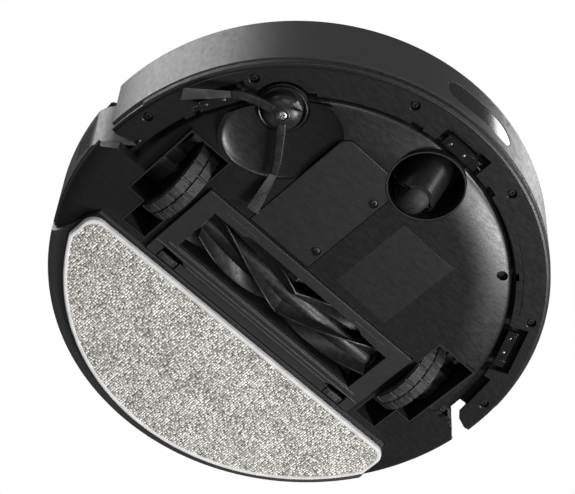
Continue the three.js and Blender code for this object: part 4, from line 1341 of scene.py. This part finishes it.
# ---------------------------------------------------------------- main brush
@dataclass
class MainBrush:
    """The main brush, its drop-in guard and the guard's latches."""

    blades: int = 5
    half: float = 80
    twist: float = 100

    def blade_set(self) -> bpy.types.Object:
        """Build the rubber sleeve with its V-shaped blades."""
        axle = joint_point("main_brush_spin")
        end = self.half
        profile = [(4.2, -end), (8.2, -end), (8.8, -end + 1), (8.8, end - 1), (8.2, end), (4.2, end)]
        parts = [spun_along_x("sleeve", profile, axle.y, axle.z, 48)]
        section = [(-1.6, 7.5), (-0.75, 11), (-0.55, 16.5), (-0.8, 18.1), (-0.45, 18.5), (0.45, 18.5),
                   (0.8, 18.1), (0.55, 16.5), (0.75, 11), (1.6, 7.5)]
        steps = 26
        for i in range(self.blades):
            for hand in (1, -1):
                bm = bmesh.new()
                ring = [bm.verts.new((0, y, z)) for y, z in section]
                face = bm.faces.new(ring)
                for k in range(steps):
                    moved = bmesh.ops.extrude_face_region(bm, geom=[face])
                    verts = [g for g in moved["geom"] if isinstance(g, bmesh.types.BMVert)]
                    faces = [g for g in moved["geom"] if isinstance(g, bmesh.types.BMFace)]
                    if k:
                        bmesh.ops.delete(bm, geom=[face], context="FACES_ONLY")
                    face = faces[0]
                    bmesh.ops.translate(bm, vec=(self.half / steps * hand, 0, 0), verts=verts)
                    bmesh.ops.rotate(bm, verts=verts, cent=(0, 0, 0),
                                     matrix=Matrix.Rotation(math.radians(self.twist / steps), 3, "X"))
                bmesh.ops.rotate(bm, verts=bm.verts, cent=(0, 0, 0),
                                 matrix=Matrix.Rotation(math.tau * i / self.blades, 3, "X"))
                bmesh.ops.translate(bm, vec=(0, axle.y, axle.z), verts=bm.verts)
                parts.append(finish_mesh(bm, "blade", 60))
        return gather("bladed_brush", parts)

    def guard(self) -> bpy.types.Object:
        """Build the guard: a frame with a step along the front, scoops and ledges behind the mouth."""
        low, high = GUARD.low, GUARD.high
        z = low.z + 0.8
        outline = filleted(rectangle(low.x, high.x, low.y, high.y), 1.2, 3)
        frame_plate = plate("brush_frame", outline, z, high.z)
        carve(frame_plate, block("mouth", (-83, -33, 0), (83, 8, 40)))
        scoop = [(50, 9), (83.5, 9), (83.5, 4.6), (80, 4.4), (57, 5.4)]
        weld(frame_plate, plate("scoop", scoop, z, z + 1.8), plate("scoop", mirrored(scoop), z, z + 1.8),
             block("ledge", (-90, -36.2, low.z), (90, -34.4, z + 1)),
             block("ledge", (-68, -42.6, low.z), (68, -41.4, z + 1)))
        latch = block("latch_slot", (72, low.y - 1, 0), (89, low.y + 9, 30))
        cuts = [latch, mirror_piece(latch, "latch_slot_left"),
                block("step", (46, 10.8, 0), (77, 11.4, z + 0.5)),
                block("step", (-77, 10.8, 0), (-46, 11.4, z + 0.5)),
                block("groove", (-97, -38.8, 0), (97, -38.3, z + 0.5))]
        carve(frame_plate, *cuts)
        return soften(frame_plate, 0.45)

    def latch(self, node: str) -> bpy.types.Object:
        """Build one latch with grip ribs."""
        box = Span.of(node)
        low, high = box.low, box.high
        body = block(f"{node}_tab", (low.x, low.y, low.z + 0.9), (high.x, high.y, low.z + 3.5))
        starts = [low.y + 0.9 + 1.1 * i for i in range(3)]
        ribs = [block("rib", (low.x + 3, y, low.z), (high.x - 3, y + 0.6, low.z + 1.4)) for y in starts]
        return soften(weld(body, *ribs), 0.25)

    def build(self) -> None:
        """Build and dress the brush and its guard."""
        dress(self.blade_set(), Look.BLADE, "main_brush", "rubber", "main_brush_sleeve")
        dress(self.guard(), Look.FRAME, "brush_guard", "body", "brush_guard")
        for node in ("guard_latch_right", "guard_latch_left"):
            dress(self.latch(node), Look.FRAME, node, "body", node)


# ---------------------------------------------------------------- drop sensors
@dataclass
class DropSensors:
    """Three small sensor windows at the front edge, with two lenses each."""

    inner: float = 150.6
    outer: float = 158.2
    eyes: Point = (-9.4, 3.0)

    def build(self) -> None:
        """Build and dress the three sensors."""
        low, middle = 12.5, (self.inner + self.outer) / 2
        for name, angle in SENSOR_ANGLES.items():
            box = block(f"edge_sensor_{name}", (self.inner, -15.4, low), (self.outer, 15.4, low + 4))
            weld(box, block("stem", (153.3, -12, low + 3), (self.outer, 12, 30)))
            cuts = [spun("eye", [(0, 0), (1.9, 0), (1.5, low + 1.2), (0, low + 1.2)], (middle, y), steps=24)
                    for y in self.eyes]
            cuts += [block("line", (self.inner - 1, y, 0), (self.outer + 1, y + 0.5, low + 0.4))
                     for y in (-13.2, 9.5)]
            carve(box, *cuts)
            spin_piece(box, angle)
            dress(soften(box, 0.4), Look.GLOSS, "chassis", "gloss", f"drop_sensor_{name}")
            lenses = [spun("lens", [(0, low + 0.3), (0.7, low + 0.45), (1.2, low + 1.0), (1.2, low + 1.6),
                                    (0, low + 1.6)], (middle, y), steps=20) for y in self.eyes]
            made = spin_piece(gather(f"sensor_lenses_{name}", lenses), angle)
            dress(made, Look.STEEL, "chassis", "gloss")


# ---------------------------------------------------------------- rear module and mop
@dataclass
class RearModule:
    """The pull-out dust and water module with its release button."""

    rounding: float = 10
    wall: float = 3

    def shell(self) -> bpy.types.Object:
        """Build the module's skin with a rounded lower edge."""
        low, top, r = MODULE.low.z, MODULE.high.z, BODY_R
        edge = [(r - self.rounding + self.rounding * math.sin(a), low + 7 - 7 * math.cos(a))
                for a in (math.radians(15 * i) for i in range(7))]
        outer = keep(spun("module_skin", [(0, low), *edge, (r, top - 1), (r - 1, top), (0, top)], steps=200),
                     plate("outline", module_outline(0), 0, 100))
        back = r - self.wall
        hollow = [(0, low + 2.5), (r - 12, low + 2.5), (back, low + 9), (back, 90), (0, 90)]
        inside = keep(spun("inside", hollow, steps=160), plate("outline", module_outline(-self.wall), 0, 100))
        button = Span.of("release_button")
        carve(outer, inside, block("mouth", (-33, MODULE.high.y - 10, 23), (33, MODULE.high.y + 10, 44)),
              block("button", (-13, -r - 5, button.low.z - 1.5), (13, -r + 10, 90)))
        carve(outer, hoop("groove", r - 0.5, r + 2, 21.2, 21.9, steps=160))
        return soften(outer, 0.6, 3, 40)

    def build(self) -> None:
        """Build and dress the module."""
        dress(self.shell(), Look.WALL, "rear_module", "body", "module_shell")
        box = Span.of("release_button")
        low, high = box.low, box.high
        button = block("release_key", low, high)
        heights = [low.z + 2.2 + 2.2 * i for i in range(4)]
        grip = [block("grip", (low.x + 3, low.y - 1, z), (high.x - 3, low.y + 0.5, z + 0.7)) for z in heights]
        dress(soften(carve(button, *grip), 0.6, 3), Look.GLOSS, "release_button", "gloss", "release_button")


@dataclass
class Mop:
    """The mop: a bracket, a looped cloth pad and its binding."""

    binding: float = 3.2
    loop_height: float = 0.35

    def pad(self) -> bpy.types.Object:
        """Build the cloth pad, slightly crowned, with loops standing on its lower face."""
        box = Span.of("mop_pad")
        pad = plate("mop_cloth", mop_outline(1.6), box.low.z + 0.5, box.high.z)
        soften(pad, 1.4, 3, 50)
        grid = pad.modifiers.new("grid", "REMESH")
        grid.mode = "VOXEL"
        grid.voxel_size = 1.15 * TO_METRES
        settle(pad)
        bm = bmesh.new()
        bm.from_mesh(pad.data)
        bmesh.ops.smooth_vert(bm, verts=bm.verts, factor=0.5, use_axis_x=True, use_axis_y=True,
                              use_axis_z=True)
        floor = (box.low.z + 1.6) * TO_METRES
        for vert in bm.verts:
            if vert.co.z < floor:
                loops = noise.noise(vert.co * 900)
                waves = noise.noise(vert.co * 42)
                vert.co.z += (loops * self.loop_height + waves * 0.25 - 0.05) * TO_METRES
        bm.to_mesh(pad.data)
        bm.free()
        shade_by_angle(pad.data, 80)
        return pad

    def tape(self) -> bpy.types.Object:
        """Build the binding that runs all round the pad."""
        box = Span.of("mop_pad")
        low, high = box.low.z, box.high.z
        band = carve(plate("mop_binding", mop_outline(0), low, high),
                     plate("inside", mop_outline(self.binding), 0, 40))
        return soften(band, 1.1, 4, 50)

    def bracket(self) -> bpy.types.Object:
        """Build the bracket plate that carries the pad."""
        box = Span.of("mop_bracket")
        carrier = plate("mop_carrier", mop_outline(-0.8), box.low.z, box.high.z)
        lip = block("lip", (-138, -52.2, box.low.z + 0.6), (138, -51.6, box.high.z))
        return soften(carve(carrier, lip), 0.4)

    def build(self) -> None:
        """Build and dress the mop."""
        pad = dress(self.pad(), Look.CLOTH, "mop", "fabric", "mop_pad")
        dress(self.tape(), Look.TAPE, "mop", "fabric")
        dress(self.bracket(), Look.BODY, "mop", "body", "mop_bracket")


# ---------------------------------------------------------------- top
@dataclass
class TopSide:
    """The top cover, laser turret and buttons."""

    turret: float = 45

    def cover(self) -> bpy.types.Object:
        """Build the top cover with its seams and openings."""
        at = joint_point("laser_head_spin")
        rear = keep(spun("lid", [(0, 70), (171, 70), (172, 71.5), (170.5, 74), (168, 76), (163, 77.9),
                                 (158, 79), (150, 79.7), (140, 80), (0, 80)], steps=180),
                    block("half", (-200, -200, 0), (200, -14, 100)))
        front = keep(spun("front", [(0, 70), (165, 70), (166, 72), (165.2, 75), (163, 77), (156, 79.2),
                                    (150, 79.8), (140, 80), (0, 80)], steps=180),
                     block("half", (-200, -20, 0), (200, 200, 100)))
        weld(rear, front)
        ring = hoop("ring", 138.6, 139.3, 79.5, 82, steps=144)
        seat = spun("seat", [(0, 79.3), (self.turret + 7, 79.3), (self.turret + 8, 82), (0, 82)], at.xy)
        hollow = spun("hollow", [(0, 60), (150, 60), (150, 75.5), (140, 77.4), (0, 77.4)], steps=120)
        hole = rod("hole", self.turret + 1, 60, 90, at.xy)
        buttons = [rod("hole", 8.4, 60, 90, Span.of(node).middle.xy, 48)
                   for node in ("power_button", "home_button")]
        seam = block("seam", (-139, -84.4, 79.4), (139, -83.8, 82))
        notch = block("notch", (-17, -180, 60), (17, -162, 90))
        carve(rear, hollow, seat, hole, seam, notch, ring, *buttons)
        rear.name = "top_lid"
        return soften(rear, 0.35, 2, 30)

    def turret_cap(self) -> bpy.types.Object:
        """Build the turret's cover: a drum with three windows and a dished lid."""
        at = joint_point("laser_head_spin")
        box = Span.of("turret_cover")
        low, top, r = box.low.z, box.high.z, self.turret
        drum = spun("turret_drum", [(r - 3, low), (r, low), (r, top - 3), (r - 0.8, top - 1), (r - 2.6, top),
                                    (r - 8, top), (r - 9, top - 0.5), (0, top - 0.5), (0, top - 2.5),
                                    (r - 3, top - 2.5)], at.xy, steps=128)
        windows = []
        for i in range(3):
            for k in range(5):
                slot = block("window", (0, -5.6, 83), (60, 5.6, 92))
                spin_piece(slot, (k - 2) * 15)
                spin_piece(slot, i * 120)
                slot.data.transform(Matrix.Translation(Vector((at.x, at.y, 0)) * TO_METRES))
                windows.append(slot)
        carve(drum, *windows)
        return soften(drum, 0.4, 2, 40)

    def key(self, name: str, marked: bool) -> bpy.types.Object:
        """Build one round push button with a dished face.

        Args:
            name: The frame node it stands for.
            marked: Whether it has a raised bar, as the power button does.

        Returns:
            The button.
        """
        box = Span.of(name)
        x, y = box.middle.xy
        r, top = (box.high.x - box.low.x) / 2, box.high.z
        made = spun(f"{name}_cap", [(0, box.low.z), (r, box.low.z), (r, top - 0.8), (r - 0.7, top),
                                    (r - 1.8, top - 0.1), (r - 3.2, top - 0.45), (0, top - 0.6)],
                    (x, y), steps=56)
        if marked:
            weld(made, block("bar", (x - 0.5, y - 2.2, top - 1), (x + 0.5, y + 2.2, top - 0.3)))
        return soften(made, 0.2)

    def build(self) -> None:
        """Build and dress the top side."""
        dress(self.cover(), Look.LID, "chassis", "gloss", "top_cover")
        dress(self.turret_cap(), Look.GLOSS, "chassis", "gloss", "turret_cover")
        dress(self.key("power_button", True), Look.GLOSS, "power_button", "gloss", "power_button")
        dress(self.key("home_button", False), Look.GLOSS, "home_button", "gloss", "home_button")


# ---------------------------------------------------------------- what stays from the frame
def dress_frame_nodes() -> None:
    """Give every frame node that stays in view the finish of its slot."""
    slots = {part["node"]: part["material_slot"] for part in frame["record"]["subparts"]}
    for name, node in frame["nodes"].items():
        if node.hide_render:
            continue
        node.data.materials.clear()
        node.data.materials.append(SLOT_LOOKS[slots[name]].material())


# ---------------------------------------------------------------- studio
@dataclass(frozen=True)
class Softbox:
    """A soft rectangular studio lamp."""

    name: str
    at: Triple
    size: Point
    power: float

    def place(self, target: Triple = (0, 0, 0.03)) -> None:
        """Put the lamp up and aim it at a point."""
        data = bpy.data.lights.new(self.name, "AREA")
        data.shape = "RECTANGLE"
        data.size, data.size_y = self.size
        data.energy = self.power
        lamp = bpy.data.objects.new(self.name, data)
        lamp.location = self.at
        lamp.rotation_euler = (Vector(target) - Vector(self.at)).to_track_quat("-Z", "Y").to_euler()
        bpy.context.scene.collection.objects.link(lamp)


class Studio:
    """The pale floor, the lamps, the surroundings and the camera."""

    LAMPS = (
        Softbox("lamp_rim", (-1.15, 0.35, -1.25), (0.3, 0.7), 24),
        Softbox("lamp_below", (0.5, 1.2, -1.6), (0.9, 0.5), 6),
        Softbox("lamp_hood", (-0.9, 1.35, -0.95), (0.3, 0.5), 20),
        Softbox("lamp_window", (-1.1, 0.35, 1.65), (0.75, 0.5), 4.5),
        Softbox("lamp_top", (1.3, -0.25, 1.6), (1.2, 1.2), 19),
        Softbox("lamp_side", (1.9, 0.6, 0.1), (0.5, 1.4), 4),
    )

    def floor(self) -> None:
        """Lay a pale floor that is seen only from above."""
        bm = bmesh.new()
        bmesh.ops.create_grid(bm, x_segments=1, y_segments=1, size=4000)
        bmesh.ops.translate(bm, vec=(0, 0, -0.05), verts=bm.verts)
        sheet = finish_mesh(bm, "floor")
        recipe = Recipe("pale_floor")
        recipe.surface(Base_Color=(0.82, 0.82, 0.81, 1), Roughness=0.7)
        side = recipe.add("ShaderNodeNewGeometry").outputs["Backfacing"]
        clear = recipe.add("ShaderNodeBsdfTransparent")
        mix = recipe.add("ShaderNodeMixShader", {0: side, 1: recipe.shader.outputs[0], 2: clear.outputs[0]})
        recipe.tree.links.new(mix.outputs[0], recipe.tree.nodes["Material Output"].inputs[0])
        sheet.data.materials.append(recipe.material)
        sheet.visible_shadow = False
        sheet.visible_glossy = False

    def surroundings(self) -> None:
        """Make the white surroundings, dimmer as a light than as a background."""
        world = bpy.data.worlds.new("studio")
        world.use_nodes = True
        nodes, links = world.node_tree.nodes, world.node_tree.links
        base = nodes["Background"]
        base.inputs[0].default_value = (1, 1, 1, 1)
        base.inputs[1].default_value = 0.10
        seen = nodes.new("ShaderNodeBackground")
        seen.inputs[0].default_value = (1, 1, 1, 1)
        mix, path = nodes.new("ShaderNodeMixShader"), nodes.new("ShaderNodeLightPath")
        links.new(path.outputs["Is Camera Ray"], mix.inputs[0])
        links.new(base.outputs[0], mix.inputs[1])
        links.new(seen.outputs[0], mix.inputs[2])
        links.new(mix.outputs[0], nodes["World Output"].inputs[0])
        bpy.context.scene.world = world

    def camera(self) -> None:
        """Put the camera below and to the front right, looking up at the underside."""
        data = bpy.data.cameras.new("camera")
        data.lens, data.sensor_width = 130.7, 36
        data.clip_start, data.clip_end = 0.05, 30
        seen = bpy.data.objects.new("camera", data)
        right = Vector((-0.71318, 0.69937, 0.04759))
        back = Vector((0.35180, 0.41582, -0.83865))
        up = back.cross(right)
        turn = Matrix((right, up, back)).transposed().to_4x4()
        seen.matrix_world = Matrix.Translation((0.5324, 0.6142, -1.1895)) @ turn
        bpy.context.scene.collection.objects.link(seen)
        bpy.context.scene.camera = seen

    def build(self) -> None:
        """Set the studio up."""
        bpy.context.scene.view_settings.view_transform = "Standard"
        self.camera()
        self.floor()
        self.surroundings()
        for lamp in self.LAMPS:
            lamp.place()


def main() -> None:
    """Build the studio and every sub-assembly, and report each piece."""
    logging.basicConfig(level=logging.INFO, format="%(name)s: %(message)s")
    Studio().build()
    for assembly in (Underbody(), Bumper(), SideWalls(), DriveWheels(), Caster(), SideBrush(), MainBrush(),
                     DropSensors(), RearModule(), Mop(), TopSide()):
        LOG.info("building %s", type(assembly).__name__)
        assembly.build()
    dress_frame_nodes()


if __name__ == "__main__":
    main()
